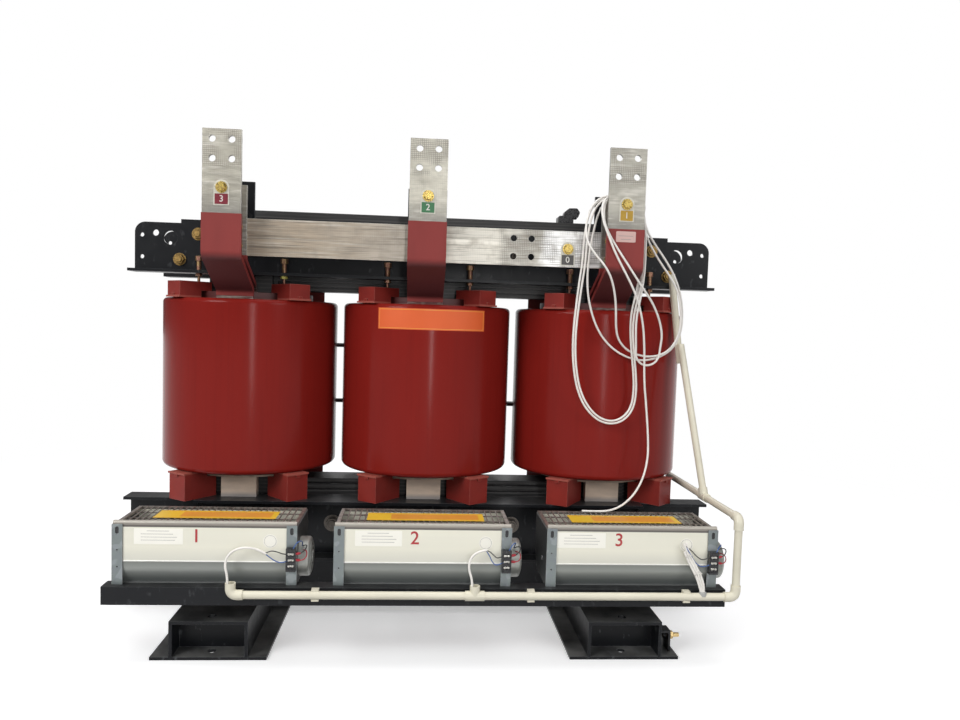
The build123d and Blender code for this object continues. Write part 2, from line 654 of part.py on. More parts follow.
def shelf_arms():
    """Angle arms from the lower flange of the clamp out to the shelf."""
    back = CLAMP_FRONT_Y - 2
    front = SHELF_FRONT_Y + SHELF_T
    top = SHELF_TOP_Z - SHELF_T
    low = LOWER_CLAMP_BOTTOM + CLAMP_T
    arms = []
    for x in PHASES_X:
        arm = block(x, x + ARM_T, front, back, low, top)
        arms.append(arm + block(x, x + ARM_W, front, back, top - ARM_T, top))
    return arms


def earth_stud():
    """Bent earthing lug between the wall and the foot of the right rail, with its screw."""
    width, height, thick = EARTH_LUG
    wall = RAIL_X + RAIL_TOP_W / 2
    face = wall + EARTH_LUG_OUT
    top = RAIL_T + height
    y0 = EARTH_Y - width / 2
    y1 = EARTH_Y + width / 2
    lug = block(face - thick, face, y0, y1, RAIL_T, top) + block(wall, face, y0, y1, top - thick, top)
    screw = rod_x(6, face - thick - 10, face + 28, EARTH_Y, EARTH_BOLT_Z)
    screw += rod_x(13, face, face + 3, EARTH_Y, EARTH_BOLT_Z)
    for x in (face - thick - 8, face + 3):
        start = Plane(origin=(x, EARTH_Y, EARTH_BOLT_Z), x_dir=(0, 1, 0), z_dir=(1, 0, 0))
        screw += extrude(start * RegularPolygon(9.5, 6, major_radius=False), 8)
    return lug + screw


# ---------------------------------------------------------------- fans
def fan_point(u, v):
    """A point of the fan section: u behind the front flange, v above the shelf."""
    return (FAN_FRONT_Y + u, SHELF_TOP_Z + v)


def fan_section(outline, x0, x1):
    """Extrude a YZ outline between two X planes."""
    return extrude(Plane(origin=(x0, 0, 0), x_dir=(0, 1, 0), z_dir=(1, 0, 0)) * outline, x1 - x0)


def fan_shell(x):
    """Front and bottom skin with its bead, ridge and scroll, and the short rear wall."""
    skin_u = 3.0
    scroll_v = SCROLL_R + 2
    bead = Pos(*fan_point(BEAD_R + 2.6, FAN_H + 1)) * Circle(BEAD_R)
    front = Rectangle(SHELL_T, FAN_H - scroll_v)
    front = Pos(*fan_point(skin_u + SHELL_T / 2, (scroll_v + FAN_H) / 2)) * front
    ridge = Pos(*fan_point(skin_u + 1, scroll_v)) * Circle(1.8)
    centre = Pos(*fan_point(skin_u + SCROLL_R, scroll_v))
    quarter = centre * (Circle(SCROLL_R) - Circle(SCROLL_R - SHELL_T))
    quarter &= centre * Pos(-SCROLL_R / 2, -SCROLL_R / 2) * Rectangle(SCROLL_R, SCROLL_R)
    floor_u = skin_u + SCROLL_R
    floor = Pos(*fan_point(floor_u + 32, 2 + SHELL_T / 2)) * Rectangle(64, SHELL_T)
    outline = bead + front + ridge + quarter + floor
    skin = fan_section(outline, -FAN_HALF + FAN_PLATE_T, FAN_HALF - FAN_PLATE_T)
    wall_u = FAN_DEPTH - SHELL_T
    y0, z0 = fan_point(wall_u, FAN_H - 56)
    y1, z1 = fan_point(FAN_DEPTH, FAN_H - GUARD_BAR * 2)
    wall = block(-FAN_HALF + FAN_PLATE_T, FAN_HALF - FAN_PLATE_T, y0, y1, z0, z1)
    return [Pos(x, 0, 0) * skin, Pos(x, 0, 0) * wall]


def fan_end(side):
    """End plate with the shaft bearing and the slotted flange folded over the front."""
    y0, z0 = fan_point(0, 0)
    y1, z1 = fan_point(FAN_DEPTH, FAN_H - 4)
    outer = side * FAN_HALF
    inner = side * (FAN_HALF - FAN_PLATE_T)
    plate = block(outer, inner, y0, y1, z0, z1)
    corner = [edge for edge in plate.edges().filter_by(Axis.X)
              if edge.center().Y > y1 - 1 and edge.center().Z < z0 + 1]
    plate = chamfer(corner, 40)
    flange_x = side * (FAN_HALF - FAN_FLANGE)
    plate += block(outer, flange_x, y0, y0 + FAN_PLATE_T, z0, z0 + FAN_H)
    middle = side * (FAN_HALF - FAN_FLANGE / 2)
    slot = rod_y(4.2, middle, y0 - 1, y0 + FAN_PLATE_T + 1, z0 + 130)
    slot += rod_y(4.2, middle, y0 - 1, y0 + FAN_PLATE_T + 1, z0 + 140)
    slot += block(middle - 4.2, middle + 4.2, y0 - 1, y0 + FAN_PLATE_T + 1, z0 + 130, z0 + 140)
    plate -= slot
    for v in (44, 86):
        plate -= rod_y(2, middle, y0 - 1, y0 + FAN_PLATE_T + 1, z0 + v)
    plate += rod_x(14, outer, side * (FAN_HALF - 8), AXLE_Y, AXLE_Z)
    plate -= rod_x(SHAFT_D / 2 + BEARING_GAP, side * (FAN_HALF - 12), side * (FAN_HALF + 5), AXLE_Y, AXLE_Z)
    return plate


def fan_ends(x):
    return [Pos(x, 0, 0) * fan_end(side) for side in (-1, 1)]


def impeller_blade():
    """Forward curved blade: a thin arc in section, drawn at the right of the axis."""
    outer = Pos(IMPELLER_R - 9, -7) * Circle(11)
    hollow = Pos(IMPELLER_R - 9, -7) * Circle(9.6)
    window = Pos(IMPELLER_R - 5.2, 0) * Rectangle(9.6, 12)
    return (outer - hollow) & window


def fan_impeller(x):
    """Cross-flow drum: three discs, a ring of curved blades and the shaft."""
    blade = impeller_blade()
    blades = Sketch() + [Rot(0, 0, i * 360 / IMPELLER_BLADES) * blade for i in range(IMPELLER_BLADES)]
    drum = extrude(blades, 2 * IMPELLER_HALF)
    for z in (0, IMPELLER_HALF - 1.5, 2 * IMPELLER_HALF - 3):
        drum += Pos(0, 0, z + 1.5) * Cylinder(IMPELLER_R, 3)
    reach = FAN_HALF + FAN_PLATE_T
    drum += Pos(0, 0, IMPELLER_HALF) * Cylinder(SHAFT_D / 2, 2 * reach)
    place = Pos(x - IMPELLER_HALF, AXLE_Y, AXLE_Z) * Rot(0, 90, 0)
    return place * drum


def fan_guard(x):
    """Outlet guard on top: a frame with bars from front to back and two cross bars."""
    half = FAN_HALF - FAN_PLATE_T - FIT_GAP
    y0, _ = fan_point(2 * BEAD_R + 3, 0)
    y1, z1 = fan_point(FAN_DEPTH, FAN_H)
    z0 = z1 - 2 * GUARD_BAR
    guard = block(-half, half, y0, y1, z0, z1)
    guard -= block(-half + 9, half - 9, y0 + 5, y1 - 5, z0 - 1, z1 + 1)
    pitch = 2 * (half - 9) / (GUARD_BARS + 1)
    for i in range(1, GUARD_BARS + 1):
        bar_x = -half + 9 + i * pitch
        guard += block(bar_x - GUARD_BAR / 2, bar_x + GUARD_BAR / 2, y0, y1, z1 - GUARD_BAR, z1)
    for share in (1 / 3, 2 / 3):
        y = y0 + share * (y1 - y0)
        guard += block(-half, half, y - 2, y + 2, z0, z1 - GUARD_BAR)
    return Pos(x, 0, 0) * guard


def fan_motor(x):
    """Shaded pole motor in a round can on the right end plate."""
    start = x + FAN_HALF
    can = rod_x(MOTOR_R, start, start + MOTOR_L, AXLE_Y, AXLE_Z)
    rim = [edge for edge in can.edges().filter_by(GeomType.CIRCLE) if edge.center().X > start + 1]
    can = fillet(rim, 8)
    can += rod_x(16, start + MOTOR_L, start + MOTOR_L + 5, AXLE_Y, AXLE_Z)
    return can - rod_x(SHAFT_D / 2 + BEARING_GAP, start - 1, start + 6, AXLE_Y, AXLE_Z)


def fan_terminals():
    """Connector block on the right flange of each fan."""
    blocks = []
    for x in PHASES_X:
        x0 = x + FAN_HALF - FAN_FLANGE + 1
        y1, z0 = fan_point(0, 38)
        body = block(x0, x0 + 24, y1 - 14, y1, z0, z0 + 58)
        for i in range(3):
            z = z0 + 14 + 15 * i
            body -= block(x0 + 2, x0 + 22, y1 - 15, y1 - 11, z - 4.5, z + 4.5)
        blocks.append(body)
    return blocks


# ---------------------------------------------------------------- conduit
def tube(start, end):
    """Straight pipe between two points."""
    axis = Vector(*end) - Vector(*start)
    plane = Plane(origin=start, z_dir=axis)
    return extrude(plane * (Circle(PIPE_D / 2) - Circle(PIPE_D / 2 - PIPE_T)), axis.length)


def socket(start, end):
    """Straight socket of a fitting, with the bore left in."""
    axis = Vector(*end) - Vector(*start)
    return extrude(Plane(origin=start, z_dir=axis) * Circle(PIPE_D / 2 + FITTING_T), axis.length)


def bore(start, end):
    axis = Vector(*end) - Vector(*start)
    return extrude(Plane(origin=start, z_dir=axis) * Circle(PIPE_D / 2 + FIT_GAP / 2), axis.length)


def elbow(corner, first, second):
    """Right-angled elbow at a corner, opening along two unit directions."""
    reach = 30.0
    corner = Vector(*corner)
    first = Vector(*first)
    second = Vector(*second)
    path = FilletPolyline(corner + first * reach, corner, corner + second * reach, radius=16)
    section = Plane(origin=path @ 0, z_dir=path % 0)
    ring = Circle(PIPE_D / 2 + FITTING_T) - Circle(PIPE_D / 2 + FIT_GAP / 2)
    return sweep(section * ring, path)


def tee(centre, along, branch):
    reach = 24.0
    centre = Vector(*centre)
    along = Vector(*along)
    branch = Vector(*branch).normalized()
    body = socket(centre - along * reach, centre + along * reach) + socket(centre, centre + branch * 26)
    body -= bore(centre - along * (reach + 1), centre + along * (reach + 1))
    return body - bore(centre, centre + branch * 27)


CORNERS = [(CONDUIT_LEFT, CONDUIT_Y, CONDUIT_Z), (CONDUIT_RIGHT, CONDUIT_Y, CONDUIT_Z),
           (CONDUIT_RIGHT, CONDUIT_Y, CONDUIT_TOP_Z), (CONDUIT_RIGHT, CONDUIT_BACK_Y, CONDUIT_TOP_Z)]
TEE_AT = (CONDUIT_RIGHT, RISER_TEE_Y, CONDUIT_TOP_Z)
SLANT = Vector(*SLANT_PIPE_TOP) - Vector(*TEE_AT)


def conduit_pipes():
    gap = 20.0
    stops = [CONDUIT_LEFT + gap] + [x for tee_x in TEES_X for x in (tee_x - 12, tee_x + 12)]
    stops += [CONDUIT_RIGHT - gap]
    pipes = [tube((a, CONDUIT_Y, CONDUIT_Z), (b, CONDUIT_Y, CONDUIT_Z))
             for a, b in zip(stops[::2], stops[1::2])]
    pipes[-1] -= rod_z(FAN_CABLE_D / 2 + 0.5, CABLE_OUTLET_X, CONDUIT_Y, CONDUIT_Z + 4, CONDUIT_Z + PIPE_D)
    x = CONDUIT_RIGHT
    pipes.append(tube((x, CONDUIT_Y, CONDUIT_Z + gap), (x, CONDUIT_Y, CONDUIT_TOP_Z - gap)))
    pipes.append(tube((x, CONDUIT_Y + gap, CONDUIT_TOP_Z), (x, RISER_TEE_Y - 12, CONDUIT_TOP_Z)))
    pipes.append(tube((x, RISER_TEE_Y + 12, CONDUIT_TOP_Z), (x, CONDUIT_BACK_Y, CONDUIT_TOP_Z)))
    foot = Vector(*TEE_AT) + SLANT.normalized() * 14
    pipes.append(tube(tuple(foot), SLANT_PIPE_TOP))
    pipes.append(tube(*UPPER_PIPE))
    return pipes


def conduit_fittings():
    left, right, top, _ = CORNERS
    pieces = [elbow(left, (0, 0, 1), (1, 0, 0)), elbow(right, (-1, 0, 0), (0, 0, 1)),
              elbow(top, (0, 0, -1), (0, 1, 0))]
    pieces += [tee((x, CONDUIT_Y, CONDUIT_Z), (1, 0, 0), (0, 0, 1)) for x in TEES_X]
    pieces.append(tee(TEE_AT, (0, 1, 0), tuple(SLANT)))
    return pieces


def conduit_clips():
    """Saddle clips on the face of the shelf."""
    half_z = PIPE_D / 2 + FITTING_T + 2
    pieces = []
    for x in CLIPS_X:
        clip = block(x - CLIP_W / 2, x + CLIP_W / 2, CONDUIT_Y - 4, SHELF_FRONT_Y,
                     CONDUIT_Z - half_z, CONDUIT_Z + half_z)
        pieces.append(clip - rod_x(PIPE_D / 2 + FIT_GAP / 2, x - CLIP_W, x + CLIP_W, CONDUIT_Y, CONDUIT_Z))
    return pieces


def probe_cable_clip():
    """Clip on the upper clamp where the three probe cables leave it."""
    low, high = PROBE_CLIP_Z
    clip = block(593, 625, CLAMP_FRONT_Y - 9, CLAMP_FRONT_Y, low, high)
    for x in (600, 609, 618):
        clip -= rod_z(PROBE_CABLE_D / 2 + 0.2, x, PROBE_EXIT_Y, PROBE_SEAT_Z, high + 1)
    return clip


# ---------------------------------------------------------------- high voltage side
def hv_tap_studs():
    """Tap studs, the link over two of them and the terminal studs of each coil."""
    middle = sum(HV_TERMINALS_Z) / 2
    pieces = []
    for x in PHASES_X:
        for column in (-1, 0, 1):
            for row in (-1, 1):
                stud_x = x + 42 * column
                stud_z = middle + 26 * row
                pieces.append(rod_y(TAP_STUD_D / 2, stud_x, TAP_PANEL_Y, TAP_PANEL_Y + 16, stud_z)
                              + hex_y(17, stud_x, TAP_PANEL_Y, TAP_PANEL_Y + 7, stud_z))
        for z in HV_TERMINALS_Z:
            pieces.append(rod_y(15, x, TERMINAL_BOSS_Y, TERMINAL_BOSS_Y + 4, z)
                          + rod_y(TAP_STUD_D / 2, x, TERMINAL_BOSS_Y + 4, DELTA_Y[0] - DELTA_D / 2, z))
    return pieces


def delta_bar(points):
    path = FilletPolyline(*points, radius=24)
    return sweep(Plane(origin=path @ 0, z_dir=path % 0) * Circle(DELTA_D / 2), path)


def hv_delta_bars():
    """Insulated rods that join the three high voltage coils in delta."""
    low, high = HV_TERMINALS_Z
    near, far = DELTA_Y
    quarter = PHASE_PITCH / 4
    lean = 40.0
    bars = []
    for x in PHASES_X[:2]:
        bars.append(delta_bar([(x - DELTA_D, near, low), (x + 3 * quarter - lean, near, low),
                               (x + 3 * quarter, near, high), (x + PHASE_PITCH + DELTA_D, near, high)]))
    left, _, right = PHASES_X
    cross = right - 3 * quarter
    bars.append(delta_bar([(right + DELTA_D, near, low), (right - lean, near, low),
                           (right - 3 * lean, far, low), (cross, far, low),
                           (cross - lean, far, high), (left + 3 * lean, far, high),
                           (left + lean, near, high), (left - DELTA_D, near, high)]))
    return bars


# ---------------------------------------------------------------- cords
PROBE_EXIT_Y = CLAMP_FRONT_Y - PROBE_CABLE_D / 2 - 1.5

PROBE_CABLE_A = [
    (600, -135.5, 1062), (600, -135.5, 1098), (600, -152, 1134), (598, -190, 1166), (594, -233, 1196),
    (586, -268, 1222), (560, -291, 1230), (526, -296, 1227), (492, -296, 1228), (463, -297, 1221),
    (441, -298, 1197), (430, -298, 1158), (425, -297, 1105), (423, -296, 1045), (416, -294, 985),
    (411, -291, 925), (407, -288, 865), (407, -285, 805), (413, -283, 745), (426, -281, 688),
    (450, -280, 640), (486, -280, 605), (528, -280, 593), (566, -281, 607), (590, -282, 641),
    (596, -283, 690), (591, -285, 745), (582, -288, 805), (575, -292, 862), (576, -297, 915),
    (586, -303, 965), (593, -308, 1020), (594, -309, 1080), (590, -308, 1140), (578, -306, 1193),
    (556, -305, 1222), (526, -305, 1227), (494, -305, 1227), (467, -305, 1217), (448, -305, 1192),
    (438, -304, 1154), (433, -302, 1104), (431, -300, 1045), (424, -297, 985), (418, -293, 925),
    (414, -289, 866), (414, -286, 806), (420, -284, 748), (432, -282, 693), (455, -281, 647),
    (488, -281, 613), (527, -281, 601), (561, -282, 614), (583, -283, 645), (588, -284, 691),
    (584, -286, 744), (575, -289, 803), (568, -292, 862), (568, -294, 912), (578, -295, 960),
    (585, -296, 1008), (586, -297, 1060), (582, -298, 1110), (583, -290, 1143), (589, -268, 1171),
    (597, -237, 1173), (604, -216, 1149), (608, -208, 1112), (610, -204, 1064), (611, -199, 1010),
    (612, -187, 954), (613, -179, 904), (613, -177, 862)]

PROBE_CABLE_B = [
    (609, -135.5, 1062), (609, -135.5, 1100), (608, -155, 1140), (605, -195, 1171), (600, -240, 1196),
    (590, -282, 1216), (562, -308, 1228), (526, -314, 1227), (495, -314, 1226), (473, -314, 1210),
    (457, -313, 1178), (447, -312, 1130), (440, -309, 1080), (437, -304, 1025), (440, -297, 970),
    (453, -289, 918), (474, -281, 867), (506, -274, 824), (549, -270, 793), (602, -268, 776),
    (655, -268, 784), (699, -267, 811), (723, -266, 857), (725, -268, 915), (714, -274, 970),
    (692, -282, 1020), (660, -292, 1064), (626, -303, 1102), (598, -313, 1138), (583, -320, 1178),
    (558, -323, 1214), (526, -323, 1227), (494, -324, 1230), (463, -326, 1225), (438, -329, 1203),
    (424, -336, 1167), (418, -346, 1130), (424, -357, 1094), (444, -366, 1064), (468, -370, 1038),
    (487, -366, 1010), (500, -356, 978), (509, -345, 945), (515, -332, 908), (521, -314, 868),
    (533, -298, 836), (558, -284, 810), (592, -278, 794), (634, -277, 788), (677, -276, 800),
    (706, -275, 832), (718, -276, 878), (716, -278, 930), (702, -284, 980), (676, -290, 1018),
    (648, -297, 1050), (624, -302, 1082), (604, -303, 1116), (598, -291, 1148), (600, -264, 1168),
    (606, -235, 1165), (612, -215, 1140), (616, -207, 1102), (619, -203, 1056), (620, -199, 1005),
    (620, -187, 952), (621, -178, 904), (621, -176, 862)]

PROBE_CABLE_C = [
    (618, -135.5, 1062), (618, -135.5, 1102), (616, -158, 1144), (612, -200, 1176), (606, -248, 1200),
    (593, -294, 1217), (562, -326, 1228), (526, -332, 1227), (495, -333, 1227), (474, -338, 1214),
    (465, -350, 1188), (464, -365, 1152), (478, -373, 1117), (504, -374, 1078), (531, -372, 1042),
    (555, -367, 1010), (582, -356, 977), (609, -344, 947), (630, -331, 915), (646, -318, 883),
    (655, -309, 849), (653, -302, 816), (651, -300, 786), (631, -299, 766), (603, -300, 766),
    (584, -302, 787), (583, -305, 816), (580, -309, 846), (578, -312, 878), (579, -316, 911),
    (584, -321, 945), (588, -327, 984), (590, -334, 1030), (589, -338, 1085), (586, -340, 1138),
    (578, -341, 1188), (556, -341, 1218), (526, -341, 1227), (494, -341, 1230), (465, -347, 1215),
    (456, -364, 1186), (459, -379, 1150), (474, -383, 1113), (493, -383, 1070), (520, -381, 1024),
    (547, -374, 981), (566, -364, 945), (580, -352, 910), (591, -340, 874), (598, -330, 836),
    (603, -322, 796), (606, -316, 754), (610, -312, 710), (616, -310, 668), (621, -309, 628),
    (625, -309, 590), (628, -311, 550), (628, -315, 510), (620, -323, 470), (604, -333, 432),
    (580, -343, 400), (548, -350, 374), (512, -354, 361), (474, -352, 359.6), (438, -350, 359.8)]

FAN_CABLE_ROUTES = [
    [(-473.9, -555.9, 214), (-474.6, -554, 238), (-483, -549, 262), (-477, -545, 288), (-454, -542, 303),
     (-427, -540, 305), (-402, -537, 298), (-386, -537, 288)],
    [(124.1, -555.9, 210), (123, -554, 233), (114, -549, 256), (116, -545, 281), (135, -541, 300),
     (160, -538, 303)],
    [(714, -556.3, 193.5), (711.5, -555.2, 216), (704, -552, 240), (693, -547, 262), (681, -542.5, 284),
     (672, -540, 305), (665, -538, 324)]]


def cord_radii(points, diameter):
    """The largest arc that each corner leaves room for."""
    radii = []
    for before, here, after in zip(points, points[1:], points[2:]):
        first = Vector(*here) - Vector(*before)
        second = Vector(*after) - Vector(*here)
        turn = math.radians(first.get_angle(second))
        radii.append(0.45 * min(first.length, second.length) / math.tan(turn / 2))
    print(f"cord: smallest radius {min(radii):.0f} mm, {min(radii) / diameter:.1f} diameters")
    return radii


def cord(points, diameter):
    """Round cord along straight runs joined by tangent arcs."""
    path = FilletPolyline(*points, radius=cord_radii(points, diameter))
    solid = sweep(Plane(origin=path @ 0, z_dir=path % 0) * Circle(diameter / 2), path)
    expected = math.pi * diameter ** 2 / 4 * path.length
    share = solid.volume / expected
    print(f"cord: length {path.length:.0f} mm, volume over section times length {share:.4f}")
    return solid


# ---------------------------------------------------------------- build
def main():
    os.makedirs("parts", exist_ok=True)
    save("core", core())
    save("clamp_upper_front", upper_clamp())
    save("clamp_upper_rear", rear(upper_clamp()))
    save("clamp_lower_front", lower_clamp(LOWER_CLAMP_HALF))
    save("clamp_lower_rear", rear(lower_clamp(LOWER_CLAMP_REAR_HALF)))
    save("clamp_boards", *clamp_boards(), *[rear(board) for board in clamp_boards()])
    save("tie_plates", *tie_plates(), *[rear(plate) for plate in tie_plates()])
    save("clamp_studs", *end_studs(), *lower_studs())
    save("yoke_bolts", *yoke_bolts())
    for number, x in enumerate(PHASES_X, 1):
        save(f"hv_coil_{number}", hv_coil(x))
        save(f"lv_coil_{number}", lv_coil(x))
        save(f"phase_bar_{number}", phase_bar(x + LEAD_OFFSET_X))
        save(f"fan_{number}_shell", *fan_shell(x))
        save(f"fan_{number}_ends", *fan_ends(x))
        save(f"fan_{number}_impeller", fan_impeller(x))
    save("lower_pads", *lower_pads())
    save("upper_pads", *upper_pads())
    save("press_bolts", *press_bolts())
    save("lv_blocks", *lv_blocks())
    phase_sleeve_line = phase_line(SHEATH_FOOT_Z, SHEATH_TOP)
    save("phase_sleeves", *[sleeve(phase_sleeve_line, x + LEAD_OFFSET_X) for x in PHASES_X])
    save("riser_sleeves", *[riser_sleeve(x + LEAD_OFFSET_X) for x in PHASES_X])
    save("neutral_risers", *[neutral_riser(x + LEAD_OFFSET_X) for x in PHASES_X])
    save("neutral_bar", neutral_bar())
    save("bar_bolts", *bar_bolts())
    save("bar_posts", *posts())
    save("bar_brackets", *bar_brackets())
    save("terminal_tags", *terminal_tags())
    save("yoke_hook", yoke_hook())
    save("rail_left", base_rail(-1))
    save("rail_right", base_rail(1))
    save("base_beams", base_beam(), rear(base_beam()))
    save("fan_shelf", fan_shelf())
    save("shelf_arms", *shelf_arms())
    save("earth_stud", earth_stud())
    save("fan_guards", *[fan_guard(x) for x in PHASES_X])
    save("fan_motors", *[fan_motor(x) for x in PHASES_X])
    save("fan_terminals", *fan_terminals())
    save("conduit_pipes", *conduit_pipes())
    save("conduit_fittings", *conduit_fittings())
    save("conduit_clips", *conduit_clips(), probe_cable_clip())
    save("hv_tap_studs", *hv_tap_studs())
    save("hv_delta_bars", *hv_delta_bars())
    for letter, points in zip("abc", (PROBE_CABLE_A, PROBE_CABLE_B, PROBE_CABLE_C)):
        save(f"probe_cable_{letter}", cord(points, PROBE_CABLE_D))
    for number, points in enumerate(FAN_CABLE_ROUTES, 1):
        save(f"fan_cable_{number}", cord(points, FAN_CABLE_D))


main()
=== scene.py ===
import json
import math

import bmesh
import bpy
from mathutils import Matrix, Vector


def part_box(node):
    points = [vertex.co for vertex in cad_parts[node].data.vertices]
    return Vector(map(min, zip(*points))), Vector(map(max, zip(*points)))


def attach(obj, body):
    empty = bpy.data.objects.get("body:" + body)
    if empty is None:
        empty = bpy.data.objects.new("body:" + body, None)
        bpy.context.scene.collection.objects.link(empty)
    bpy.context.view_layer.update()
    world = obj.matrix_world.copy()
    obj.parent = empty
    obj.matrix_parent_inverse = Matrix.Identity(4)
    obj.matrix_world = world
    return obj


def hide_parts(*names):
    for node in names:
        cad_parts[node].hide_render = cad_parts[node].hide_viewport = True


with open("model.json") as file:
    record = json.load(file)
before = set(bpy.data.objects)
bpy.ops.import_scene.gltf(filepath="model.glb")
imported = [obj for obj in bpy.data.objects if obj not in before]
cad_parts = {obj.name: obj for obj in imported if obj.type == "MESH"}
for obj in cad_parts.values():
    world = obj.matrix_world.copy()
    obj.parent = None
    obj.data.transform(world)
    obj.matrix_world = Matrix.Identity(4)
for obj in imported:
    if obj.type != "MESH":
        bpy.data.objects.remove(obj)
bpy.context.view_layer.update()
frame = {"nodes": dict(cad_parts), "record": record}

# Cast resin dry type transformer. Sizes are in millimetres and made metres by MM.
MM = 0.001
ROOT = "transformer"
FRONT, RIGHT, UP = (0, -1, 0), (1, 0, 0), (0, 0, 1)
PHASES = (-536.0, 0.0, 536.0)
LEAD_OFFSET_X = -10.0
HV_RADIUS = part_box("hv_coil_2")[1][0] / MM
FAN_WALL_Y = -522.0
FAN_RIGHT = 223.0
SHELF_TOP_Z = 206.0
GUARD_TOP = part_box("fan_guards")[1][2] / MM
BAR_FRONT_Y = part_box("phase_bar_2")[0][1] / MM
NEUTRAL_FRONT_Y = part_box("neutral_bar")[0][1] / MM
PHASE_BOLT_Z = 1202.0
NEUTRAL_BOLT_X = 384.0
NEUTRAL_Z = 1084.0
TAG_T = 0.8
TAG_MARK = (17.0, -43.5, -16.5)  # half width of the numbered square, and its ends from the bolt in Z
TAG_NUMBER_H = 17.0
FILM_T = 0.3  # stickers, plates and numbers
INK_T = 0.1
CORNER_STEPS = 4
BOLD = 0.012  # how far a number's strokes are widened, of its height
FONT_SIZE = 1.38  # for a digit of height 1
SHEATH_T = 1.5
MOTOR_L = 28.0
MOTOR_RINGS = ([(40, 0), (40, 1.4), (37, 2.2), (35, 1.2), (35, 0)],
               [(27, 0), (27, 2), (25, 2.8), (18, 2.8), (18, 0)])
MOTOR_SCREW_R = 31.0
AXLE = (-461.0, 262.0)  # Y and Z of the fan shafts
BLOCK_LEFT = 198.0  # the connector blocks, from each fan's middle
BLOCK_ROWS = (258.0, 273.0, 288.0)
BLOCK_BAR_Y = (-537.6, -536.0)
BLOCK_LUGS = ((288, 0.12), (273, -0.1))  # Z, and how each leans up or down
SCREW_SLOT = (2.2, 0.35, -539.75, -539.45)  # half length, half height, and its two faces
STICKER = (-33.3, 39.1, 846.0, 906.0)  # its ends in degrees from -Y, and in Z
STICKER_INSET = (0.8, 3.0)  # of its border, in degrees and along Z
STICKER_BORDER = (0.3, 1.5)
STICKER_STEPS = 24
SLEEVE_LABEL = (27.0, 1101.0, 1130.0)  # half width, and ends in Z
SLEEVE_RULES = ((1117, 20), (1108, 14))  # Z and half width
PLATE_Z = (306.0, 345.0)
PLATE_RULES = ((0.26, 0.72), (0.14, 0.8), (0.14, 0.88), (0.14, 0.84))  # ends as shares of the plate
PLATE_RULE = (338.5, 7.6, 0.9)  # Z of the first, the step down to the next, and the height
FAN_NUMBER = (34.0, 326.0)  # height and Z
SEAL_Z = 316.0
SEAL_RING_R = 14.5
STRIP_Y = (-460.0, -385.0)
STRIP_T = 0.4
STRIP_LINES = ((-457, -455.5), (-389.5, -388))
STRIP_PANEL = (62, 14, -448, -397)  # in from the left, in from the right, and its ends in Y
FAN_LABELS = [  # label, number, seal and guard strip, from each fan's middle
    ((-171, -54), -22, 157, (-147, 158)),
    ((-171, -54), -22, 157, (-147, 158)),
    ((-196, -71), -36, 141, (-147, 148)),
]
CABLE_CORES = {  # the two cores of each fan's cable
    1: {"black": [(-389, -537, 290), (-382, -537.5, 293), (-371, -538, 297), (-356, -538, 293),
                  (-345, -537, 288), (-334, -536.5, 288)],
        "blue": [(-389, -537, 289), (-379, -538, 282), (-366, -538, 272), (-352, -538, 267),
                 (-342, -537, 268), (-334, -536.5, 271)]},
    2: {"black": [(157, -538, 303), (166, -538.5, 300), (175, -539, 292), (184, -538.5, 283),
                  (192, -537.5, 284), (202, -536.5, 287)],
        "blue": [(157, -538, 302), (166, -539, 290), (172, -539.5, 275), (182, -539, 264),
                 (192, -538, 267), (202, -536.5, 271)]},
    3: {"black": [(668, -538.5, 319), (684, -541, 308), (697, -542, 293), (712, -541, 283),
                  (724, -538.5, 285), (738, -536.5, 288)],
        "blue": [(667, -538.5, 320), (681, -542, 300), (692, -543, 280), (706, -542, 267),
                 (721, -539, 264), (738, -536.5, 270)]},
}
MOTOR_WIRES = {  # X is from the block's left edge
    "black": [(34, -533, 289), (44, -531, 294), (50, -521, 306), (42, -507, 304), (36, -499, 298)],
    "red": [(34, -533, 272), (43, -532, 272), (50, -524, 282), (47, -511, 291), (38, -503, 290)],
    "blue": [(18, -537, 302), (22, -538, 312), (32, -530, 320), (38, -513, 314), (34, -500, 299)],
}
CABLE_TIES = [((699.5, -549, 250), (-0.44, 0.2, 0.87), 8.6), ((677.5, -540.5, 294), (-0.42, 0.15, 0.9), 8.2)]
TIE_T, TIE_W = 0.9, 2.6
TIE_LOCK = (3.5, 2.0, 1.8)  # its length, and half its depth and height
ODD_NUT = (-416.0, -160.0, 978.8)
COLLAR = (713.0, -556.3, 194.0)
BUNDLE_FOOT = (713.5, -556, 201)  # where the cables of fan 3 draw together, and how far
BUNDLE_PULL = 0.45
FOOT_HALF = 220.5  # from a fan's middle to its end plate
FOOT_PLATE_T = 1.6
SLOT_SHADE = (199.0, -523, -522.2, 236, 350)  # dark plates that stand in for shade inside the slots: inner X, and its ends in Y and Z
FAN_APRON = [(-521.6, 262.6), (-521, 250), (-518, 238), (-513, 226), (-507, 216), (-500, SHELF_TOP_Z + 1)]
FAN_APRON_EDGES = [(-1, 0), (1, 0), (1, 1.0), (-1, 1.0)]  # side, and how far in front
FAN_RIDGE_Z = 0.265  # in metres from here on, as shader nodes take them
FAN_BEAD_Z = 0.349
# heights of the thin painted highlights on the pads' lips
PAD_LIP_HIGHLIGHTS = [(0.419, 0.424), (0.918, 0.923)]
COIL_ENDS = (0.409, 0.918, 0.9195)  # the inner coil is pale below the first and between the others
EARTH_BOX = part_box("earth_stud")
LUG_BOLT = (0.026, 0.028)  # from the outer end, where the bare bolt gives way to paint
STUDS_LOW = (0.62, 0.58)  # below it the studs are painted black
BLOCK_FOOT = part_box("lv_blocks")[0][2]
SEED_STEP = 7.3  # moves each noise so that no two of a material match


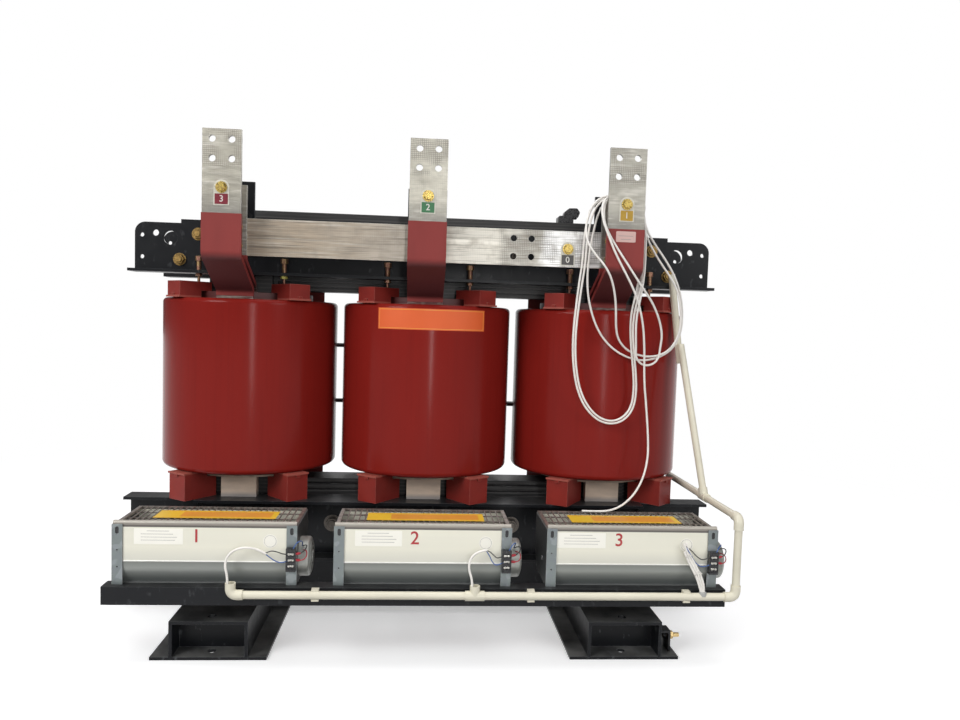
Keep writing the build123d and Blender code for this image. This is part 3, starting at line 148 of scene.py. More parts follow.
# ---------------- materials
class Surface:
    """A material's node tree, grown from one Principled shader. Lengths are in millimetres."""

    def __init__(self, name, colour, roughness, **sockets):
        self.material = bpy.data.materials.new(name)
        self.material.use_nodes = True
        self.tree = self.material.node_tree
        self.shader = self.tree.nodes["Principled BSDF"]
        self.place = self.add("ShaderNodeTexCoord").outputs["Object"]
        self.noises = 0
        self.base = colour
        self.shader.inputs["Base Color"].default_value = (*colour, 1)
        self.shader.inputs["Roughness"].default_value = roughness
        for socket, value in sockets.items():
            self.shader.inputs[socket.replace("_", " ")].default_value = value

    def add(self, kind, **settings):
        node = self.tree.nodes.new(kind)
        for key, value in settings.items():
            setattr(node, key, value)
        return node

    def join(self, source, socket):
        """Link an output to a socket, or set the socket's own value."""
        if hasattr(source, "is_output"):
            self.tree.links.new(source, socket)
        else:
            socket.default_value = source

    def math(self, operation, a, b=0.5):
        node = self.add("ShaderNodeMath", operation=operation)
        self.join(a, node.inputs[0])
        self.join(b, node.inputs[1])
        return node.outputs[0]

    def times(self, a, b):
        return self.math("MULTIPLY", a, b)

    def split(self, vector, name):
        node = self.add("ShaderNodeSeparateXYZ")
        self.join(vector, node.inputs[0])
        return node.outputs[name]

    def axis(self, name):
        return self.split(self.place, name)

    def facing(self, name):
        """How far the surface looks along an axis, from -1 to 1."""
        return self.split(self.add("ShaderNodeNewGeometry").outputs["Normal"], name)

    def noise(self, size, detail=3.0, stretch=(1, 1, 1)):
        """Noise with spots of that size, longer along an axis by its stretch."""
        self.noises += 1
        mapping = self.add("ShaderNodeMapping")
        mapping.inputs["Location"].default_value = [SEED_STEP * self.noises] * 3
        mapping.inputs["Scale"].default_value = [1 / (size * MM * s) for s in stretch]
        self.join(self.place, mapping.inputs["Vector"])
        node = self.add("ShaderNodeTexNoise")
        node.inputs["Scale"].default_value = 1
        node.inputs["Detail"].default_value = detail
        self.join(mapping.outputs[0], node.inputs["Vector"])
        return node.outputs["Fac"]

    def lines(self, axis, pitch, sharp=1.0):
        """A wave from 0 to 1 along an axis, with that pitch; sharp makes thin lines of it."""
        turn = self.times(self.axis(axis), 2 * math.pi / (pitch * MM))
        wave = self.math("MULTIPLY_ADD", self.math("SINE", turn), 0.5)
        wave.node.inputs[2].default_value = 0.5
        return wave if sharp == 1.0 else self.math("POWER", wave, sharp)

    def span(self, value, low, high, start=0.0, end=1.0):
        """Goes from start to end while value goes from low to high."""
        node = self.add("ShaderNodeMapRange")
        self.join(value, node.inputs["Value"])
        for socket, number in zip(("From Min", "From Max", "To Min", "To Max"), (low, high, start, end)):
            node.inputs[socket].default_value = number
        return node.outputs[0]

    def bevel(self, radius):
        node = self.add("ShaderNodeBevel", samples=4)
        node.inputs["Radius"].default_value = radius * MM
        return node.outputs[0]

    def edges(self, radius):
        """1 on the sharp edges of that radius, where a lighter colour is painted, 0 on flat faces."""
        dot = self.add("ShaderNodeVectorMath", operation="DOT_PRODUCT")
        self.join(self.bevel(radius), dot.inputs[0])
        self.join(self.add("ShaderNodeNewGeometry").outputs["Normal"], dot.inputs[1])
        return self.span(dot.outputs["Value"], 0.995, 0.9)

    def crevice(self, distance, colour):
        """Painted shade where faces meet, out to that distance."""
        node = self.add("ShaderNodeAmbientOcclusion", samples=4)
        node.inputs["Distance"].default_value = distance * MM
        self.paint(self.span(node.outputs["AO"], 0.9, 0.45), colour)

    def blend(self, share, first, second):
        node = self.add("ShaderNodeMix", data_type="RGBA")
        self.join(share, node.inputs["Factor"])
        sockets = [s for s in node.inputs if s.type == "RGBA"]
        for colour, socket in zip((first, second), sockets):
            self.join(colour if hasattr(colour, "is_output") else (*colour, 1), socket)
        return [s for s in node.outputs if s.type == "RGBA"][0]

    def paint(self, share, second):
        """Colour that goes from what is there to a second one by share."""
        socket = self.shader.inputs["Base Color"]
        first = socket.links[0].from_socket if socket.links else self.base
        self.join(self.blend(share, first, second), socket)

    def spots(self, noise, low, high, share, colour):
        """Spots of another colour; noise is its size, detail and stretch."""
        self.paint(self.span(self.noise(*noise), low, high, 0, share), colour)

    def wear(self, radius, share, colour):
        """Painted highlight along the sharp edges, which on black paint also stands for worn edges."""
        self.paint(self.times(self.edges(radius), share), colour)

    def rough(self, noise, low, high):
        """Roughness that wanders between two values."""
        self.join(self.span(self.noise(*noise), 0.3, 0.7, low, high), self.shader.inputs["Roughness"])

    def bump(self, height, depth, strength=1.0):
        """Raise the surface by height times depth, on top of earlier bumps."""
        node = self.add("ShaderNodeBump")
        node.inputs["Strength"].default_value = strength
        node.inputs["Distance"].default_value = depth * MM
        self.join(height, node.inputs["Height"])
        socket = self.shader.inputs["Normal"]
        if socket.links:
            self.join(socket.links[0].from_socket, node.inputs["Normal"])
        self.join(node.outputs[0], socket)

    def soften(self, radius):
        """Round the sharp edges a little where light meets them. Comes before any bump."""
        self.join(self.bevel(radius), self.shader.inputs["Normal"])


def cast_resin():
    s = Surface("cast_resin_red", (0.225, 0.0145, 0.0105), 0.2, Specular_IOR_Level=0.11)
    s.spots((190, 2, (1, 1, 2)), 0.35, 0.75, 0.55, (0.185, 0.0125, 0.0095))
    s.spots((9, 2, (1, 1, 40)), 0.5, 0.8, 0.35, (0.16, 0.0115, 0.009))
    s.spots((1.6, 1), 0.74, 0.8, 0.4, (0.32, 0.1, 0.08))
    s.rough((60, 3, (1, 1, 8)), 0.14, 0.22)
    s.soften(3.0)
    s.bump(s.noise(120, 2, (1, 1, 4)), 1.0, 0.12)
    s.bump(s.noise(2.2, 2), 0.05, 0.1)
    return s.material


def pad_resin():
    s = Surface("pad_resin_red", (0.3, 0.029, 0.02), 0.42, Specular_IOR_Level=0.25)
    s.spots((45, 4), 0.35, 0.7, 0.55, (0.19, 0.019, 0.015))
    # painted shade: faces that do not look to the front are darker
    s.paint(s.span(s.facing("Y"), -0.5, -0.98, 0.45, 0.0), (0.075, 0.013, 0.013))
    s.spots((2.0, 2), 0.68, 0.76, 0.35, (0.3, 0.1, 0.09))
    # painted highlight lines on the pads' lips
    for low, high in PAD_LIP_HIGHLIGHTS:
        above, below = s.span(s.axis("Z"), low - 0.0005, low), s.span(s.axis("Z"), high + 0.0005, high)
        lip_highlight = s.math("MINIMUM", above, below)
        s.paint(s.times(lip_highlight, 0.6), (0.42, 0.12, 0.09))
    # painted highlight along the pad edges
    s.wear(2.6, 0.6, (0.45, 0.14, 0.11))
    s.soften(1.6)
    s.bump(s.noise(3, 3), 0.2, 0.25)
    return s.material


def shrink_sleeve():
    s = Surface("shrink_sleeve_red", (0.24, 0.037, 0.033), 0.5, Specular_IOR_Level=0.25)
    s.spots((50, 3, (1, 1, 5)), 0.3, 0.8, 0.5, (0.165, 0.026, 0.024))
    # painted shade on the faces that look down
    s.paint(s.span(s.facing("Z"), -0.1, -0.75), (0.1, 0.027, 0.028))
    s.wear(1.2, 0.5, (0.36, 0.11, 0.1))
    # painted highlight along the sleeve edges
    s.soften(1.5)
    s.bump(s.noise(20, 2, (1, 1, 6)), 0.3, 0.2)
    s.bump(s.noise(1.4, 2), 0.05, 0.2)
    return s.material


def tinned_bar(name, fresh, stained, grain, streaks, bands, pressed):
    """Tinned copper with stains, scratches along its grain and the print of a knurled press.

    grain stretches the scratches, and streaks is the share of dark ones. Each band is an axis, the two
    places where its colour starts and is full, the share and the colour. pressed is the axis and the two
    places in metres where the knurled part starts and is full."""
    s = Surface(name, fresh, 0.38, Metallic=0.45)
    s.spots((55, 4), 0.42, 0.68, 0.8, stained)
    for axis, start, full, share, colour in bands:
        edge = s.math("MULTIPLY_ADD", s.noise(40, 4), 60 * MM)
        s.join(s.axis(axis), edge.node.inputs[2])
        s.paint(s.span(edge, (start + 30) * MM, (full + 30) * MM, 0, share), colour)
    s.spots((7, 4, grain), 0.52, 0.72, 0.5, (0.74, 0.71, 0.64))
    s.spots((4, 4, grain), 0.5, 0.68, streaks, tuple(0.5 * c for c in stained))
    s.spots((34, 3), 0.5, 0.72, 0.55, tuple(0.8 * c for c in stained))
    grid = s.math("MAXIMUM", s.lines("X", 5.0, 4), s.lines("Z", 5.0, 4))
    patch = s.span(s.noise(75, 2), 0.4, 0.5)
    axis, start, full = pressed
    knurl = s.times(s.times(grid, patch), s.span(s.axis(axis), start, full, 0.22, 1))
    s.paint(s.times(knurl, 0.72), (0.15, 0.135, 0.115))
    # painted highlight along the bar edges
    s.wear(1.1, 0.8, (0.86, 0.86, 0.82))
    s.rough((12, 4, grain), 0.28, 0.52)
    s.soften(1.0)
    s.bump(knurl, -0.35, 0.7)
    s.bump(s.noise(18, 3, grain), 0.3, 0.3)
    return s.material


def black_paint(name, dust, film=0.11, worn=0.25):
    """Black paint with grey dust of that share and colour on its tops, and scratches by worn."""
    s = Surface(name, (0.0085, 0.0092, 0.011), 0.3, Specular_IOR_Level=0.2)
    top = s.span(s.facing("Z"), 0.5, 0.95)
    dusty = s.times(top, s.span(s.noise(70, 5), 0.3, 0.7, 0.25, 1))
    s.paint(s.times(dusty, dust), (film, film, 0.96 * film))
    s.spots((2.0, 2), 0.75, 0.8, 0.5, (0.14, 0.14, 0.14))
    s.spots((16, 5, (1, 4, 2)), 0.62, 0.72, worn, (0.11, 0.115, 0.12))
    # lighter edges: partly worn paint, partly painted highlight
    s.wear(1.0, 0.35 + worn / 2, (0.15, 0.155, 0.165))
    s.rough((25, 4), 0.29, 0.37)
    s.soften(1.2)
    s.bump(s.noise(5, 3), 0.25, 0.35)
    s.bump(s.noise(1.2, 1), 0.08, 0.3)
    return s.material


def core_sheets():
    s = Surface("core_sheets", (0.013, 0.0125, 0.013), 0.45)
    wave = s.math("MULTIPLY_ADD", s.noise(60, 2, (3, 1, 1)), 9 * MM)
    s.join(s.axis("Z"), wave.node.inputs[2])
    turn = s.times(wave, 2 * math.pi / (11 * MM))
    streak = s.span(s.math("SINE", turn), 0.2, 1, 0, 0.8)
    s.paint(s.times(streak, s.span(s.facing("Y"), -0.5, -0.95)), (0.075, 0.072, 0.07))
    stack = s.lines("Y", 2.4)
    s.paint(s.span(stack, 0.75, 1, 0, 0.4), (0.045, 0.043, 0.041))
    s.spots((40, 4), 0.5, 0.8, 0.4, (0.03, 0.028, 0.027))
    s.bump(stack, 0.5, 0.6)
    return s.material


def yellow_zinc():
    s = Surface("yellow_zinc", (0.72, 0.54, 0.15), 0.26, Metallic=0.75)
    s.paint(s.span(s.noise(9, 3), 0.4, 0.65), (0.6, 0.43, 0.14))
    s.spots((7, 2), 0.6, 0.75, 0.35, (0.5, 0.54, 0.2))
    # painted shade in the crevices
    s.crevice(4, (0.12, 0.075, 0.03))
    s.rough((4, 3), 0.2, 0.36)
    s.soften(1.2)
    s.bump(s.noise(1.5, 2), 0.08, 0.4)
    return s.material


def brown_zinc(name, colour, other, low_colour=None):
    """Threaded zinc in two browns; low_colour is for what is down at the base."""
    s = Surface(name, colour, 0.3, Metallic=0.85)
    s.paint(s.span(s.noise(10, 3), 0.45, 0.7), other)
    # painted highlight on the edges of nuts and threads
    s.wear(1.2, 0.75, tuple(min(1, 2.6 * c) for c in other))
    # painted shade in the crevices
    s.crevice(5, tuple(0.2 * c for c in colour))
    if low_colour:
        s.paint(s.span(s.axis("Z"), *STUDS_LOW), low_colour)
    s.rough((4, 3), 0.26, 0.46)
    s.soften(1.0)
    s.bump(s.lines("Z", 1.5), 0.2, 0.5)
    return s.material


def earth_lug():
    """Black painted lug with a bare yellow bolt at its outer end."""
    s = Surface("earth_lug", (0.95, 0.7, 0.32), 0.3, Metallic=0.4)
    start, full = (EARTH_BOX[1][0] - length for length in LUG_BOLT)
    s.paint(s.span(s.axis("X"), start, full), (0.013, 0.013, 0.015))
    # painted shade in the crevices
    s.crevice(4, (0.05, 0.035, 0.02))
    s.soften(0.8)
    s.bump(s.noise(3, 2), 0.1, 0.3)
    return s.material


def fan_skin():
    """Satin aluminium, clean on the flat wall, with painted shade and painted highlights in bands by height
    on the bead, at the ridge and down the scroll.
    """
    s = Surface("fan_aluminium_painted_light", (0.82, 0.8, 0.68), 0.36, Metallic=0.15)
    # Bands by height, all painted light: painted shade growing towards the ridge from above, painted shade
    # under the bead with its middle and top lighter as a painted highlight, a thin painted highlight on the
    # ridge, painted shade just below it, and painted shade getting darker down the scroll.
    for edge, start, full, share, colour in (
            (FAN_RIDGE_Z, 0.035, 0.004, 0.45, (0.55, 0.55, 0.5)),
            (FAN_BEAD_Z, -0.001, 0, 1, (0.11, 0.1, 0.09)),
            (FAN_BEAD_Z, 0.003, 0.006, 1, (0.3, 0.27, 0.235)),
            (FAN_BEAD_Z, 0.008, 0.012, 0.8, (0.5, 0.47, 0.41)),
            (FAN_RIDGE_Z, 0.0015, 0.0005, 1, (0.95, 0.94, 0.88)),
            (FAN_RIDGE_Z, -0.0015, -0.003, 1, (0.2, 0.212, 0.195)),
            (FAN_RIDGE_Z, -0.005, -0.018, 1, (0.29, 0.305, 0.285)),
            (FAN_RIDGE_Z, -0.022, -0.05, 1, (0.165, 0.18, 0.175))):
        s.paint(s.span(s.axis("Z"), edge + start, edge + full, 0, share), colour)
    s.spots((30, 2, (20, 1, 1)), 0.4, 0.7, 0.06, (0.45, 0.45, 0.42))
    s.rough((3, 2, (60, 1, 1)), 0.33, 0.39)
    s.bump(s.noise(2, 2, (80, 1, 1)), 0.02, 0.15)
    return s.material


def galvanised():
    s = Surface("galvanised_steel", (0.21, 0.24, 0.235), 0.4, Metallic=0.4)
    s.spots((12, 4), 0.4, 0.65, 0.8, (0.2, 0.22, 0.235))
    s.spots((28, 1), 0.55, 0.6, 0.3, (0.4, 0.43, 0.45))
    # painted shade on the faces that look along X, with lighter flecks painted over it
    sides = s.span(s.math("ABSOLUTE", s.facing("X")), 0.6, 0.9)
    s.paint(sides, (0.06, 0.065, 0.066))
    s.paint(s.times(sides, s.span(s.noise(3.5, 3), 0.58, 0.66, 0, 0.7)), (0.22, 0.2, 0.18))
    # painted highlight along the edges
    s.wear(0.7, 0.6, (0.6, 0.6, 0.58))
    s.soften(0.8)
    s.bump(s.noise(12, 2), 0.12, 0.3)
    return s.material


def guard_steel():
    s = Surface("guard_steel", (0.4, 0.36, 0.32), 0.34, Metallic=0.6)
    s.spots((18, 3), 0.42, 0.7, 0.8, (0.16, 0.12, 0.105))
    s.bump(s.noise(3, 2), 0.1, 0.3)
    return s.material


def worn_metal(name, colour, dark, roughness, metallic, size=18):
    s = Surface(name, colour, roughness, Metallic=metallic)
    s.spots((size, 3), 0.4, 0.7, 0.6, dark)
    s.rough((6, 3), 0.85 * roughness, 1.2 * roughness)
    s.soften(0.8)
    s.bump(s.noise(4, 2), 0.12, 0.3)
    return s.material


def cream_plastic(name, colour, roughness=0.32, spots=25.0):
    s = Surface(name, colour, roughness)
    darker = tuple(0.84 * c for c in colour)
    s.spots((spots * 4, 3), 0.4, 0.75, 0.5, darker)
    s.spots((spots / 8, 2), 0.68, 0.76, 0.2, tuple(0.6 * c for c in colour))
    s.bump(s.noise(spots, 2), 0.2, 0.2)
    return s.material


def lv_resin():
    """The inner coil: dark red resin, with bare glass cloth where its ends come out of the outer one."""
    s = Surface("inner_coil_resin", (0.1, 0.018, 0.016), 0.45)
    height = s.axis("Z")
    foot, low, high = COIL_ENDS
    band = s.math("MINIMUM", s.span(height, low - 0.001, low), s.span(height, high + 0.0005, high - 0.0005))
    s.paint(s.math("MAXIMUM", band, s.span(height, foot + 0.0005, foot - 0.0005)), (0.5, 0.4, 0.31))
    s.spots((25, 4), 0.35, 0.7, 0.4, (0.05, 0.014, 0.014))
    s.bump(s.noise(5, 3), 0.3, 0.3)
    return s.material


def pressboard():
    """Laminated board, a stack of flat layers, darker at its foot."""
    s = Surface("pressboard", (0.68, 0.54, 0.42), 0.5)
    layers = s.lines("Z", 3.2, 3)
    s.paint(s.times(layers, 0.45), (0.22, 0.18, 0.15))
    s.spots((22, 3, (3, 1, 1)), 0.35, 0.7, 0.6, (0.36, 0.29, 0.23))
    s.paint(s.span(s.axis("Z"), BLOCK_FOOT + 16 * MM, BLOCK_FOOT + 5 * MM, 0, 0.7), (0.16, 0.17, 0.185))
    s.bump(layers, -0.3, 0.5)
    s.bump(s.noise(3, 3, (4, 1, 1)), 0.3, 0.4)
    return s.material


def dark_board():
    s = Surface("insulating_board", (0.03, 0.026, 0.024), 0.5)
    s.spots((30, 3), 0.4, 0.7, 0.6, (0.05, 0.042, 0.036))
    s.bump(s.noise(4, 2), 0.3, 0.3)
    return s.material


def moulded(name, colour, roughness=0.4, metallic=0.0):
    s = Surface(name, colour, roughness, Metallic=metallic)
    s.spots((12, 3), 0.4, 0.7, 0.45, tuple(0.7 * c for c in colour))
    s.rough((5, 3), 0.8 * roughness, 1.2 * roughness)
    s.soften(0.6)
    s.bump(s.noise(2, 2), 0.1, 0.3)
    return s.material


def printed_film(name, colour, faded=0.8, roughness=0.3):
    """Sticker film with small creases and a faded part."""
    s = Surface(name, colour, roughness)
    s.spots((60, 3), 0.4, 0.8, 0.6, tuple(faded * c for c in colour))
    s.bump(s.noise(22, 3), 0.2, 0.3)
    return s.material


MATERIALS = {
    "core_steel": core_sheets(),
    "clamp_paint": black_paint("clamp_paint_black", 0.3),
    "board": dark_board(),
    "lv_block_board": pressboard(),
    "tie_steel": moulded("tie_plate_steel", (0.03, 0.03, 0.032), 0.4, 0.5),
    "yellow_zinc": yellow_zinc(),
    "red_resin": cast_resin(),
    "cream_resin": lv_resin(),
    "pad_resin": pad_resin(),
    "tinned_bar": tinned_bar("tinned_bar", (0.6, 0.575, 0.49), (0.41, 0.385, 0.32), (9, 1, 1), 0.22, [
        ("X", -250, -280, 0.5, (0.31, 0.29, 0.24)), ("X", 250, 280, 0.5, (0.3, 0.29, 0.26)),
        ("Z", 1195, 1140, 0.85, (0.22, 0.21, 0.19)), ("Z", 985, 970, 1.0, (0.09, 0.02, 0.018))],
        ("Z", 1.252, 1.262)),
    "red_sleeve": shrink_sleeve(),
    "post_resin": moulded("post_resin", (0.2, 0.03, 0.025), 0.25),
    "tag": moulded("tag_plate", (0.62, 0.6, 0.52), 0.4),
    "black_plastic": moulded("black_plastic", (0.014, 0.014, 0.016), 0.28),
    "guard_steel": guard_steel(),
    "galvanised": galvanised(),
    "fan_skin": fan_skin(),
    "fan_rotor": worn_metal("rotor_aluminium", (0.3, 0.3, 0.31), (0.18, 0.18, 0.18), 0.42, 0.8),
    "motor_can": worn_metal("motor_can", (0.4, 0.41, 0.38), (0.28, 0.28, 0.26), 0.38, 0.4),
    "white_conduit": cream_plastic("conduit_pvc", (0.75, 0.71, 0.57)),
    "white_cable": cream_plastic("cable_jacket", (0.86, 0.83, 0.78), 0.4, 6),
    "brass_stud": moulded("brass_stud", (0.6, 0.42, 0.15), 0.3, 0.9),
    "black_rod": moulded("delta_rod", (0.016, 0.016, 0.017), 0.4),
}
WHITE_FILM = printed_film("label_film_white", (0.98, 0.96, 0.87), 0.96)
SEAL_FILM = printed_film("seal_film", (0.93, 0.91, 0.82), 0.95, 0.12)
GREY_INK = printed_film("label_ink_grey", (0.27, 0.26, 0.24))
RED_INK = printed_film("ink_red", (0.45, 0.035, 0.04))
YELLOW_FILM = printed_film("label_film_yellow", (0.9, 0.58, 0.05), 0.85)
AMBER_INK = printed_film("label_ink_amber", (0.84, 0.36, 0.06))
ORANGE_FILM = printed_film("label_film_orange", (0.74, 0.115, 0.018), 0.92, 0.5)
PINK_FILM = printed_film("label_film_pink", (0.6, 0.4, 0.36), 0.9)
PLASTICS = {name: moulded("plastic_" + name, colour, 0.35) for name, colour in {
    "red": (0.42, 0.02, 0.035), "blue": (0.06, 0.13, 0.36), "black": (0.02, 0.02, 0.022),
    "green": (0.03, 0.16, 0.06), "maroon": (0.2, 0.015, 0.03), "ochre": (0.45, 0.27, 0.02),
    "slate": (0.07, 0.065, 0.06), "grey": (0.4, 0.4, 0.38), "white": (0.75, 0.73, 0.68)}.items()}
FOOT_STEEL = worn_metal("fan_foot_steel", (0.16, 0.168, 0.165), (0.12, 0.125, 0.125), 0.5, 0.2, 60)
BRIGHT_ZINC = moulded("lock_nut_zinc", (0.8, 0.76, 0.2), 0.3, 0.3)
NICKEL = worn_metal("screw_nickel", (0.55, 0.54, 0.5), (0.35, 0.33, 0.3), 0.3, 0.85, 6)
OWN_MATERIALS = {
    "neutral_bar": tinned_bar("neutral_bar_tin", (0.5, 0.46, 0.4), (0.37, 0.33, 0.27), (32, 1, 1), 0.7, [
        ("X", 20, -330, 0.85, (0.4, 0.32, 0.235)), ("X", 45, 75, 1.0, (0.7, 0.67, 0.59)),
        ("X", 190, 225, 0.9, (0.46, 0.44, 0.39)), ("X", 300, 325, 0.95, (0.95, 0.95, 0.94))],
        ("X", 0.185, 0.2)),
    "earth_stud": earth_lug(),
    "rail_left": black_paint("rail_paint_left", 0.75, 0.2, 0.75),
    "rail_right": black_paint("rail_paint_right", 0.75, 0.2, 0.75),
    "press_bolts": brown_zinc("press_bolt_zinc", (0.24, 0.115, 0.085), (0.32, 0.22, 0.1)),
    "clamp_studs": brown_zinc("clamp_stud_zinc", (0.27, 0.17, 0.055), (0.14, 0.09, 0.035),
                              (0.014, 0.014, 0.015)),
    "yoke_bolts": brown_zinc("yoke_bolt_zinc", (0.13, 0.115, 0.1), (0.09, 0.08, 0.072)),
}


def dress_frame():
    """Give every CAD node the material of its slot."""
    for entry in frame["record"]["subparts"]:
        name = entry["node"]
        materials = frame["nodes"][name].data.materials
        materials.clear()
        materials.append(OWN_MATERIALS.get(name) or MATERIALS[entry["material_slot"]])


# ---------------- geometry helpers
def link(thing):
    bpy.context.scene.collection.objects.link(thing)


def finish_piece(name, bm, material, smooth=None):
    """Turn a bmesh in millimetres into a piece, with edges sharper than smooth degrees kept."""
    mesh = bpy.data.meshes.new(name)
    bmesh.ops.scale(bm, vec=(MM, MM, MM), verts=bm.verts)
    bmesh.ops.recalc_face_normals(bm, faces=bm.faces)
    bm.to_mesh(mesh)
    bm.free()
    piece = bpy.data.objects.new(name, mesh)
    link(piece)
    mesh.materials.append(material)
    if smooth is not None:
        for face in mesh.polygons:
            face.use_smooth = True
        mesh.set_sharp_from_angle(angle=math.radians(smooth))
    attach(piece, ROOT)
    return piece


def angles(count):
    return [2 * math.pi * i / count for i in range(count)]


def join_rings(bm, rings):
    """Faces between each closed ring of points and the next."""
    for ring, after in zip(rings, rings[1:]):
        for i, start in enumerate(ring):
            j = (i + 1) % len(ring)
            bm.faces.new((start, ring[j], after[j], after[i]))


def add_block(bm, low, high, bevel=0.0):
    """A box between two corners, with rounded edges."""
    centre = [(a + b) / 2 for a, b in zip(low, high)]
    size = [abs(b - a) for a, b in zip(low, high)]
    made = bmesh.ops.create_cube(bm, size=1, matrix=Matrix.Translation(centre) @ Matrix.Diagonal((*size, 1)))
    if bevel:
        edges = {e for v in made["verts"] for e in v.link_edges}
        bmesh.ops.bevel(bm, geom=list(edges), offset=bevel, segments=2, affect="EDGES", profile=0.5)


def turn_to(axis):
    """Rotation that takes +Z to an axis."""
    return Vector(UP).rotation_difference(Vector(axis)).to_matrix().to_4x4()


def add_turned(bm, at, axis, profile, sides):
    """A turned shape about an axis through a point; profile is (radius, height) from end to end."""
    place = Matrix.Translation(at) @ turn_to(axis)
    rings = [[bm.verts.new(place @ Vector((radius * math.cos(a), radius * math.sin(a), height)))
              for a in angles(sides)] for radius, height in profile]
    join_rings(bm, rings)
    bm.faces.new(rings[0][::-1])
    bm.faces.new(rings[-1])


def add_sheet(bm, corners, normal, thick):
    """A thin flat plate with those corners, raised along its normal."""
    lift = Vector(normal) * thick
    lower = [bm.verts.new(Vector(c)) for c in corners]
    upper = [bm.verts.new(Vector(c) + lift) for c in corners]
    bm.faces.new(lower[::-1])
    bm.faces.new(upper)
    join_rings(bm, [lower, upper])


def upright(x0, x1, z0, z1, y):
    return [(x0, y, z0), (x1, y, z0), (x1, y, z1), (x0, y, z1)]


def level(x0, x1, y0, y1, z):
    return [(x0, y0, z), (x1, y0, z), (x1, y1, z), (x0, y1, z)]


def round_corners(x0, x1, z0, z1, radius, y):
    """Outline in the XZ plane of a rectangle with round corners."""
    outline = []
    for cx, cz, start in ((x1 - radius, z1 - radius, 0), (x0 + radius, z1 - radius, 90),
                          (x0 + radius, z0 + radius, 180), (x1 - radius, z0 + radius, 270)):
        for i in range(CORNER_STEPS + 1):
            angle = math.radians(start + 90 * i / CORNER_STEPS)
            outline.append((cx + radius * math.cos(angle), y, cz + radius * math.sin(angle)))
    return outline


def label(name, x0, x1, z0, z1, y, material, radius):
    """A label on a face that looks along -Y."""
    bm = bmesh.new()
    add_sheet(bm, round_corners(x0, x1, z0, z1, radius, y), FRONT, FILM_T)
    return finish_piece(name, bm, material)


# ---------------- cords
def curve_piece(name, points, diameter, material):
    """A round cable along a smooth curve; points are in millimetres."""
    data = bpy.data.curves.new(name, "CURVE")
    data.dimensions = "3D"
    data.bevel_depth = diameter / 2 * MM
    data.bevel_resolution = 3
    data.use_fill_caps = True
    data.resolution_u = 6
    spline = data.splines.new("NURBS")
    spline.points.add(len(points) - 1)
    for point, place in zip(spline.points, points):
        point.co = (*(c * MM for c in place), 1)
    spline.order_u = 3
    spline.use_endpoint_u = True
    data.materials.append(material)
    piece = bpy.data.objects.new(name, data)
    link(piece)
    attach(piece, ROOT)
    return piece


